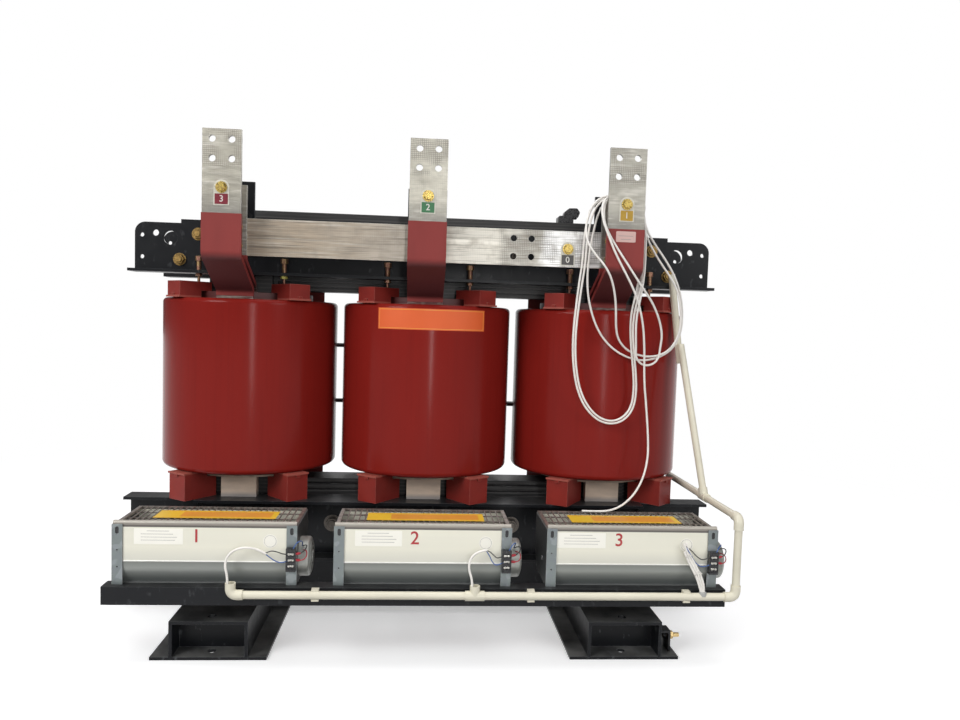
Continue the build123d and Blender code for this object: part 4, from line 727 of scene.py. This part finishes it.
CABLE_D = 6.0
WIRE_D = 2.6
CORDS = {  # length, stiffness, lay, far end and route
    "probe_cable_a": (3436, "limp", "hanging", "object", [
        (600, -135.5, 1062), (600, -135.5, 1098), (600, -152, 1134), (598, -190, 1166), (594, -233, 1196),
        (586, -268, 1222), (560, -291, 1230), (526, -296, 1227), (492, -296, 1228), (463, -297, 1221),
        (441, -298, 1197), (430, -298, 1158), (425, -297, 1105), (423, -296, 1045), (416, -294, 985),
        (411, -291, 925), (407, -288, 865), (407, -285, 805), (413, -283, 745), (426, -281, 688),
        (450, -280, 640), (486, -280, 605), (528, -280, 593), (566, -281, 607), (590, -282, 641),
        (596, -283, 690), (591, -285, 745), (582, -288, 805), (575, -292, 862), (576, -297, 915),
        (586, -303, 965), (593, -308, 1020), (594, -309, 1080), (590, -308, 1140), (578, -306, 1193),
        (556, -305, 1222), (526, -305, 1227), (494, -305, 1227), (467, -305, 1217), (448, -305, 1192),
        (438, -304, 1154), (433, -302, 1104), (431, -300, 1045), (424, -297, 985), (418, -293, 925),
        (414, -289, 866), (414, -286, 806), (420, -284, 748), (432, -282, 693), (455, -281, 647),
        (488, -281, 613), (527, -281, 601), (561, -282, 614), (583, -283, 645), (588, -284, 691),
        (584, -286, 744), (575, -289, 803), (568, -292, 862), (568, -294, 912), (578, -295, 960),
        (585, -296, 1008), (586, -297, 1060), (582, -298, 1110), (583, -290, 1143), (589, -268, 1171),
        (597, -237, 1173), (604, -216, 1149), (608, -208, 1112), (610, -204, 1064), (611, -199, 1010),
        (612, -187, 954), (613, -179, 904), (613, -177, 862)]),
    "probe_cable_b": (2919, "limp", "hanging", "object", [
        (609, -135.5, 1062), (609, -135.5, 1100), (608, -155, 1140), (605, -195, 1171), (600, -240, 1196),
        (590, -282, 1216), (562, -308, 1228), (526, -314, 1227), (495, -314, 1226), (473, -314, 1210),
        (457, -313, 1178), (447, -312, 1130), (440, -309, 1080), (437, -304, 1025), (440, -297, 970),
        (453, -289, 918), (474, -281, 867), (506, -274, 824), (549, -270, 793), (602, -268, 776),
        (655, -268, 784), (699, -267, 811), (723, -266, 857), (725, -268, 915), (714, -274, 970),
        (692, -282, 1020), (660, -292, 1064), (626, -303, 1102), (598, -313, 1138), (583, -320, 1178),
        (558, -323, 1214), (526, -323, 1227), (494, -324, 1230), (463, -326, 1225), (438, -329, 1203),
        (424, -336, 1167), (418, -346, 1130), (424, -357, 1094), (444, -366, 1064), (468, -370, 1038),
        (487, -366, 1010), (500, -356, 978), (509, -345, 945), (515, -332, 908), (521, -314, 868),
        (533, -298, 836), (558, -284, 810), (592, -278, 794), (634, -277, 788), (677, -276, 800),
        (706, -275, 832), (718, -276, 878), (716, -278, 930), (702, -284, 980), (676, -290, 1018),
        (648, -297, 1050), (624, -302, 1082), (604, -303, 1116), (598, -291, 1148), (600, -264, 1168),
        (606, -235, 1165), (612, -215, 1140), (616, -207, 1102), (619, -203, 1056), (620, -199, 1005),
        (620, -187, 952), (621, -178, 904), (621, -176, 862)]),
    "probe_cable_c": (2529, "limp", "hanging", "bare", [
        (618, -135.5, 1062), (618, -135.5, 1102), (616, -158, 1144), (612, -200, 1176), (606, -248, 1200),
        (593, -294, 1217), (562, -326, 1228), (526, -332, 1227), (495, -333, 1227), (474, -338, 1214),
        (465, -350, 1188), (464, -365, 1152), (478, -373, 1117), (504, -374, 1078), (531, -372, 1042),
        (555, -367, 1010), (582, -356, 977), (609, -344, 947), (630, -331, 915), (646, -318, 883),
        (655, -309, 849), (653, -302, 816), (651, -300, 786), (631, -299, 766), (603, -300, 766),
        (584, -302, 787), (583, -305, 816), (580, -309, 846), (578, -312, 878), (579, -316, 911),
        (584, -321, 945), (588, -327, 984), (590, -334, 1030), (589, -338, 1085), (586, -340, 1138),
        (578, -341, 1188), (556, -341, 1218), (526, -341, 1227), (494, -341, 1230), (465, -347, 1215),
        (456, -364, 1186), (459, -379, 1150), (474, -383, 1113), (493, -383, 1070), (520, -381, 1024),
        (547, -374, 981), (566, -364, 945), (580, -352, 910), (591, -340, 874), (598, -330, 836),
        (603, -322, 796), (606, -316, 754), (610, -312, 710), (616, -310, 668), (621, -309, 628),
        (625, -309, 590), (628, -311, 550), (628, -315, 510), (620, -323, 470), (604, -333, 432),
        (580, -343, 400), (548, -350, 374), (512, -354, 361), (474, -352, 359.6), (438, -350, 359.8)]),
    "fan_cable_1": (174, "medium", "loose", "bare", [
        (-473.9, -555.9, 214), (-474.6, -554, 238), (-483, -549, 262), (-477, -545, 288),
        (-454, -542, 303), (-427, -540, 305), (-402, -537, 298), (-386, -537, 288)]),
    "fan_cable_2": (124, "medium", "loose", "bare", [
        (124.1, -555.9, 210), (123, -554, 233), (114, -549, 256), (116, -545, 281), (135, -541, 300),
        (160, -538, 303)]),
    "fan_cable_3": (142, "medium", "loose", "bare", [
        (714, -556.3, 193.5), (711.5, -555.2, 216), (704, -552, 240), (693, -547, 262),
        (681, -542.5, 284), (672, -540, 305), (665, -538, 324)]),
}


def lay_cords():
    """Draw each cord in CORDS in place of its CAD node."""
    for node, (length, stiffness, lay, far_end, points) in CORDS.items():
        piece = curve_piece("flex_" + node, points, CABLE_D, MATERIALS["white_cable"])
        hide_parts(node)
        extra = fan_3_bundle() if node == "fan_cable_3" else []


# ---------------- details
def number(name, digit, height, x, y, z, material):
    """A plain number on a face that looks along -Y, centred on a point."""
    data = bpy.data.curves.new(name, "FONT")
    data.body = digit
    data.size = height * FONT_SIZE * MM
    data.extrude = FILM_T / 2 * MM
    data.offset = height * BOLD * MM
    data.align_x = "CENTER"
    data.align_y = "CENTER"
    data.materials.append(material)
    piece = bpy.data.objects.new(name, data)
    piece.matrix_world = Matrix.Translation((x * MM, y * MM, z * MM)) @ Matrix.Rotation(math.pi / 2, 4, "X")
    link(piece)
    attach(piece, ROOT)


def add_band(bm, radius, angle0, angle1, z0, z1, thick):
    """A film that lies round an upright cylinder on the Z axis; angles are from -Y towards +X."""
    columns = []
    for i in range(STICKER_STEPS + 1):
        a = math.radians(angle0 + (angle1 - angle0) * i / STICKER_STEPS)
        columns.append([bm.verts.new((r * math.sin(a), -r * math.cos(a), z))
                        for r, z in ((radius, z0), (radius + thick, z0), (radius + thick, z1), (radius, z1))])
    join_rings(bm, columns)
    bm.faces.new(columns[0][::-1])
    bm.faces.new(columns[-1])


def add_tube(bm, points, radius, sides):
    """A closed ring of round wire through the points."""
    path = [Vector(p) for p in points]
    middle = sum(path, Vector()) / len(path)
    rings = []
    for i, point in enumerate(path):
        along = (path[(i + 1) % len(path)] - path[i - 1]).normalized()
        side = along.cross((point - middle).normalized()).normalized()
        out = side.cross(along)
        rings.append([bm.verts.new(point + radius * (math.cos(a) * out + math.sin(a) * side))
                      for a in angles(sides)])
    join_rings(bm, rings + rings[:1])


def terminal_labels():
    """The numbered squares on the tag plates, where the terminals carry their marks."""
    places = [(digit, x + LEAD_OFFSET_X, BAR_FRONT_Y, PHASE_BOLT_Z, colour)
              for digit, x, colour in zip("321", PHASES, ("maroon", "green", "ochre"))]
    places.append(("0", NEUTRAL_BOLT_X, NEUTRAL_FRONT_Y, NEUTRAL_Z, "slate"))
    half, foot, top = TAG_MARK
    for digit, x, y, bolt_z, colour in places:
        face = y - TAG_T
        label("tag_square_" + digit, x - half, x + half, bolt_z + foot, bolt_z + top, face,
              PLASTICS[colour], 1)
        number("tag_number_" + digit, digit, TAG_NUMBER_H, x, face - FILM_T - 0.05, bolt_z + (foot + top) / 2,
               PLASTICS["white"])


def fan_labels():
    """Bare labels, a plain fan number and a clear seal on each fan, and a strip on its guard."""
    wall = FAN_WALL_Y
    for k, (x, (plate, mark, seal, strip)) in enumerate(zip(PHASES, FAN_LABELS), 1):
        left, right = x + plate[0], x + plate[1]
        label(f"fan_{k}_plate", left, right, *PLATE_Z, wall, WHITE_FILM, 1.5)
        bm = bmesh.new()
        first, step, rule = PLATE_RULE
        for row, (start, end) in enumerate(PLATE_RULES):
            z = first - step * row
            low, high = left + start * (right - left), left + end * (right - left)
            add_sheet(bm, upright(low, high, z, z + rule, wall - FILM_T), FRONT, INK_T)
        finish_piece(f"fan_{k}_plate_rules", bm, GREY_INK)
        height, z = FAN_NUMBER
        number(f"fan_{k}_number", str(k), height, x + mark, wall - FILM_T / 2, z, RED_INK)
        bm = bmesh.new()
        add_turned(bm, (x + seal, wall, SEAL_Z), FRONT, [(17.5, 0), (17.5, 0.25), (16.9, 0.35)], 40)
        finish_piece(f"fan_{k}_seal", bm, SEAL_FILM)
        bm = bmesh.new()
        ring = [(x + seal + SEAL_RING_R * math.cos(a), wall - 0.4, SEAL_Z + SEAL_RING_R * math.sin(a))
                for a in angles(40)]
        add_tube(bm, ring, 0.35, 6)
        finish_piece(f"fan_{k}_seal_ring", bm, GREY_INK, smooth=60)
        bm = bmesh.new()
        low, high, top = x + strip[0], x + strip[1], GUARD_TOP + STRIP_T
        add_sheet(bm, level(low, high, *STRIP_Y, GUARD_TOP), UP, STRIP_T)
        finish_piece(f"fan_{k}_strip", bm, YELLOW_FILM)
        bm = bmesh.new()
        for ends in STRIP_LINES:
            add_sheet(bm, level(low + 3, high - 3, *ends, top), UP, INK_T)
        from_left, from_right, *ends = STRIP_PANEL
        add_sheet(bm, level(low + from_left, high - from_right, *ends, top), UP, INK_T)
        finish_piece(f"fan_{k}_strip_panel", bm, AMBER_INK)


def coil_sticker():
    """The orange film on the middle coil, left bare, with its darker border."""
    low, high, z0, z1 = STICKER
    bm = bmesh.new()
    add_band(bm, HV_RADIUS + 0.05, low, high, z0, z1, FILM_T)
    finish_piece("coil_sticker", bm, ORANGE_FILM, smooth=40)
    bm = bmesh.new()
    a0, a1 = low + STICKER_INSET[0], high - STICKER_INSET[0]
    b0, b1 = z0 + STICKER_INSET[1], z1 - STICKER_INSET[1]
    turn, rise = STICKER_BORDER
    for side in ((a0, a1, b0, b0 + rise), (a0, a1, b1 - rise, b1),
                 (a0, a0 + turn, b0 + rise, b1 - rise), (a1 - turn, a1, b0 + rise, b1 - rise)):
        add_band(bm, HV_RADIUS + 0.05 + FILM_T, *side, INK_T)
    finish_piece("coil_sticker_border", bm, AMBER_INK, smooth=40)


def sleeve_label():
    """The pink label on the sleeve of the right phase."""
    x, face = PHASES[2] + LEAD_OFFSET_X, BAR_FRONT_Y - SHEATH_T
    width, foot, top = SLEEVE_LABEL
    label("sleeve_label", x - width, x + width, foot, top, face, PINK_FILM, 3)
    bm = bmesh.new()
    for z, half in SLEEVE_RULES:
        add_sheet(bm, upright(x - half, x + half, z, z + 1.2, face - FILM_T), FRONT, INK_T)
    finish_piece("sleeve_label_rules", bm, GREY_INK)


def fan_wiring():
    """Screws in the connector blocks, crimped lugs, and the cores of the cables and motors."""
    bar_y, block_y = BLOCK_BAR_Y
    half, rise, slot_y, slot_back = SCREW_SLOT
    for k, x in enumerate(PHASES, 1):
        left = x + BLOCK_LEFT
        screws = bmesh.new()
        bars = bmesh.new()
        for z in BLOCK_ROWS:
            add_block(bars, (left + 4.5, bar_y, z - 2.4), (left + 19.5, block_y, z + 2.4), 0.6)
            for dx in (7.2, 16.8):
                middle = left + dx
                add_turned(screws, (middle, bar_y, z), FRONT, [(3.1, 0), (3.1, 1.2), (2.3, 1.9)], 16)
                add_block(screws, (middle - half, slot_y, z - rise), (middle + half, slot_back, z + rise))
        finish_piece(f"fan_{k}_block_bars", bars, NICKEL)
        finish_piece(f"fan_{k}_block_screws", screws, NICKEL, smooth=30)
        lid = bmesh.new()
        add_turned(lid, (left + 12, -539, 297), FRONT, [(4.4, 0), (4.4, 1.2), (3.4, 2)], 20)
        add_block(lid, (left + 1, -541.5, 246), (left + 23, -539, 250), 0.8)
        finish_piece(f"fan_{k}_block_lid", lid, PLASTICS["black"], smooth=30)
        lugs = bmesh.new()
        for z, lean in BLOCK_LUGS:
            add_turned(lugs, (left + 22.5, -534, z), (1, 0.1, lean),
                       [(2.2, 0), (3.4, 1), (3.4, 9), (2.5, 11.5), (1.6, 13)], 16)
        finish_piece(f"fan_{k}_lugs", lugs, PLASTICS["red"], smooth=40)
        for colour, route in MOTOR_WIRES.items():
            points = [(left + dx, y, z) for dx, y, z in route]
            curve_piece(f"fan_{k}_motor_{colour}", points, WIRE_D, PLASTICS[colour])
        for colour, route in CABLE_CORES[k].items():
            curve_piece(f"fan_{k}_core_{colour}", route, WIRE_D, PLASTICS[colour])


def motor_faces():
    """Rolled rim, dished face and screws on the outer face of each motor."""
    y, z = AXLE
    for k, x in enumerate(PHASES, 1):
        face = x + FAN_RIGHT + MOTOR_L
        bm = bmesh.new()
        for profile in MOTOR_RINGS:
            add_turned(bm, (face - 0.2, y, z), RIGHT, profile, 48)
        finish_piece(f"fan_{k}_motor_rings", bm, MATERIALS["motor_can"], smooth=35)
        screws = bmesh.new()
        for a in (math.radians(45 + 90 * i) for i in range(4)):
            place = (face - 0.1, y + MOTOR_SCREW_R * math.cos(a), z + MOTOR_SCREW_R * math.sin(a))
            add_turned(screws, place, RIGHT, [(3, 0), (3, 1.3), (2, 2)], 16)
        finish_piece(f"fan_{k}_motor_screws", screws, NICKEL, smooth=30)


def fan_foot_plates():
    """Plate on the shelf, apron down the front of the scroll, and dark plates that stand in for shade inside
    the slots.
    """
    top = SHELF_TOP_Z + FOOT_PLATE_T
    for k, x in enumerate(PHASES, 1):
        bm = bmesh.new()
        add_block(bm, (x - FOOT_HALF, -512, SHELF_TOP_Z), (x + FOOT_HALF, -345, top), 0.4)
        finish_piece(f"fan_{k}_foot_plate", bm, FOOT_STEEL)
        bm = bmesh.new()
        rows = [[bm.verts.new((x + side * FOOT_HALF, y - ahead, z)) for side, ahead in FAN_APRON_EDGES]
                for y, z in FAN_APRON]
        join_rings(bm, rows)
        bm.faces.new(rows[0])
        bm.faces.new(rows[-1])
        finish_piece(f"fan_{k}_apron", bm, MATERIALS["fan_skin"], smooth=40)
        # dark plates where there is only shade inside the slots
        bm = bmesh.new()
        edge, y0, y1, z0, z1 = SLOT_SHADE
        for side in (-1, 1):
            inner, outer = sorted((side * edge, side * FOOT_HALF))
            add_block(bm, (x + inner, y0, z0), (x + outer, y1, z1))
        finish_piece(f"fan_{k}_slot_shade", bm, PLASTICS["black"])


def odd_nut():
    """The one bright lock nut under the upper flange, right of the left coil."""
    bm = bmesh.new()
    add_turned(bm, ODD_NUT, UP, [(4.5, 0), (9, 0), (10.4, 1), (10.4, 7.4), (9, 8.4), (4.5, 8.4)], 6)
    finish_piece("odd_nut", bm, BRIGHT_ZINC)


def fan_3_bundle():
    """Two more cables tied to the one of the third fan, and the collar where they leave the pipe."""
    route = CORDS["fan_cable_3"][-1]
    mouth_x, mouth_y, mouth_z = BUNDLE_FOOT
    pieces = []
    for name, shift, end in (("left", (-5.6, 0.6, -2.0), -1), ("right", (5.6, 1.2, 2.0), None)):
        points = [tuple(c + d for c, d in zip(point, shift)) for point in route[1:end]]
        x = points[0][0]
        points.insert(0, (x + (mouth_x - x) * BUNDLE_PULL, mouth_y, mouth_z))
        pieces.append(curve_piece("fan_3_bundle_" + name, points, CABLE_D, MATERIALS["white_cable"]))
    bm = bmesh.new()
    add_turned(bm, COLLAR, UP, [(8.2, 0), (10.4, 0.8), (9.8, 9), (8.6, 11), (6.5, 11.4)], 28)
    pieces.append(finish_piece("fan_3_collar", bm, PLASTICS["grey"], smooth=35))
    return pieces


def cable_ties():
    """Ties round the cables at fan 3."""
    bm = bmesh.new()
    length, depth, height = TIE_LOCK
    for (x, y, z), along, reach in CABLE_TIES:
        turn = Matrix.Translation((x, y, z)) @ turn_to(along)
        outer, half = reach + TIE_T, TIE_W / 2
        rings = [[bm.verts.new(turn @ Vector((r * math.cos(a), r * math.sin(a), h)))
                  for r, h in ((reach, -half), (outer, -half), (outer, half), (reach, half))]
                 for a in angles(24)]
        join_rings(bm, rings + rings[:1])
        add_block(bm, (x + reach, y - depth, z - height), (x + reach + length, y + depth, z + height), 0.4)
    finish_piece("cable_ties", bm, PLASTICS["white"], smooth=35)


# ---------------- stage
CAMERA_AT = (-25.8, -2464.0, 876.9)
CAMERA_YAW = 4.39  # degrees to the right of +Y
CAMERA_PITCH = -3.64
CAMERA_ROLL = 1.78
CAMERA_LENS = 29.38
CAMERA_SHIFT = (0.0023, 0.0110)
FLOOR_RADIUS = 30000.0
FLOOR_FADE = (1500.0, 3200.0)
FLOOR_GLOW = 0.38
FLOOR_GREY = (0.3, 0.3, 0.3)  # as the part is lit by it
FLOOR_WHITE = (0.88, 0.88, 0.88)  # as it is seen
ROOM_GREY = (0.12, 0.12, 0.125)
BACKDROP_EDGE = (0.9, 0.99)  # how far ahead a reflection looks before it meets the backdrop
AMBIENT = (0.4, 0.4, 0.41)


def place_camera():
    yaw, pitch, roll = (math.radians(a) for a in (CAMERA_YAW, CAMERA_PITCH, CAMERA_ROLL))
    ahead = Vector((math.sin(yaw) * math.cos(pitch), math.cos(yaw) * math.cos(pitch), math.sin(pitch)))
    right = Vector((math.cos(yaw), -math.sin(yaw), 0))
    up = right.cross(ahead)
    right, up = (right * math.cos(roll) + up * math.sin(roll), up * math.cos(roll) - right * math.sin(roll))
    data = bpy.data.cameras.new("camera")
    data.lens = CAMERA_LENS
    data.shift_x, data.shift_y = CAMERA_SHIFT
    camera = bpy.data.objects.new("camera", data)
    axes = Matrix((right, up, -ahead)).transposed()
    camera.matrix_world = Matrix.Translation([c * MM for c in CAMERA_AT]) @ axes.to_4x4()
    link(camera)
    bpy.context.scene.camera = camera


def softbox(name, at, target, width, height, power):
    data = bpy.data.lights.new(name, "AREA")
    data.shape = "RECTANGLE"
    data.size = width
    data.size_y = height
    data.energy = power
    light = bpy.data.objects.new(name, data)
    aim = Vector(target) - Vector(at)
    light.matrix_world = Matrix.Translation(at) @ aim.to_track_quat("-Z", "Y").to_matrix().to_4x4()
    link(light)


class Backing(Surface):
    """Nodes of the floor or the world, which tell the kinds of rays apart."""

    def __init__(self, tree):
        self.tree = tree
        path = self.add("ShaderNodeLightPath").outputs
        self.camera = path["Is Camera Ray"]
        self.shiny = self.math("MAXIMUM", path["Is Glossy Ray"], path["Is Transmission Ray"])


def studio_floor():
    """White floor that takes the shadow and turns into the backdrop far away."""
    bm = bmesh.new()
    bmesh.ops.create_circle(bm, cap_ends=True, segments=96, radius=FLOOR_RADIUS * MM)
    mesh = bpy.data.meshes.new("floor")
    bm.to_mesh(mesh)
    bm.free()
    floor = bpy.data.objects.new("floor", mesh)
    link(floor)
    material = bpy.data.materials.new("floor_white")
    material.use_nodes = True
    nodes = Backing(material.node_tree)
    shader = material.node_tree.nodes["Principled BSDF"]
    shader.inputs["Roughness"].default_value = 0.9
    shader.inputs["Specular IOR Level"].default_value = 0.0
    length = nodes.add("ShaderNodeVectorMath", operation="LENGTH")
    nodes.join(nodes.add("ShaderNodeTexCoord").outputs["Object"], length.inputs[0])
    far = nodes.span(length.outputs["Value"], FLOOR_FADE[0] * MM, FLOOR_FADE[1] * MM)
    seen = nodes.math("MAXIMUM", nodes.camera, nodes.shiny)
    near_colour = nodes.blend(seen, FLOOR_GREY, FLOOR_WHITE)
    share = nodes.times(far, seen)
    nodes.join(nodes.blend(share, near_colour, (0, 0, 0)), shader.inputs["Base Color"])
    shader.inputs["Emission Color"].default_value = (1, 1, 1, 1)
    glow = nodes.span(far, 0, 1, FLOOR_GLOW, 1)
    nodes.join(nodes.times(glow, seen), shader.inputs["Emission Strength"])
    mesh.materials.append(material)


def studio_world():
    """Grey light all round, a white backdrop, and a dim room in front where reflections look."""
    world = bpy.data.worlds.new("studio")
    bpy.context.scene.world = world
    world.use_nodes = True
    nodes = Backing(world.node_tree)
    toward = nodes.split(nodes.add("ShaderNodeTexCoord").outputs["Generated"], "Y")
    backdrop = nodes.blend(nodes.span(toward, *BACKDROP_EDGE), ROOM_GREY, (1, 1, 1))
    colour = nodes.blend(nodes.camera, nodes.blend(nodes.shiny, AMBIENT, backdrop), (1, 1, 1))
    nodes.join(colour, world.node_tree.nodes["Background"].inputs["Color"])


def light_studio():
    """Soft lamps at a plain level, in metres and watts."""
    softbox("key", (-2.9, -3.1, 2.9), (0, 0, 0.75), 1.8, 2.0, 112)
    softbox("fill", (2.8, -3.4, 2.2), (0, 0, 0.7), 1.6, 2.0, 44)
    softbox("strip", (0.55, -5.4, 1.35), (0, 0, 0.7), 0.2, 2.4, 34)
    softbox("top", (0, -0.6, 3.9), (0, 0, 0), 3.0, 2.2, 42)
    softbox("back", (0.4, 3.6, 3.0), (0, 0, 0.8), 2.4, 1.6, 40)


# ---------------- build
dress_frame()
lay_cords()
place_camera()
terminal_labels()
fan_labels()
coil_sticker()
sleeve_label()
fan_wiring()
motor_faces()
fan_foot_plates()
odd_nut()
cable_ties()
light_studio()
studio_floor()
studio_world()
bpy.context.scene.view_settings.view_transform = "Standard"
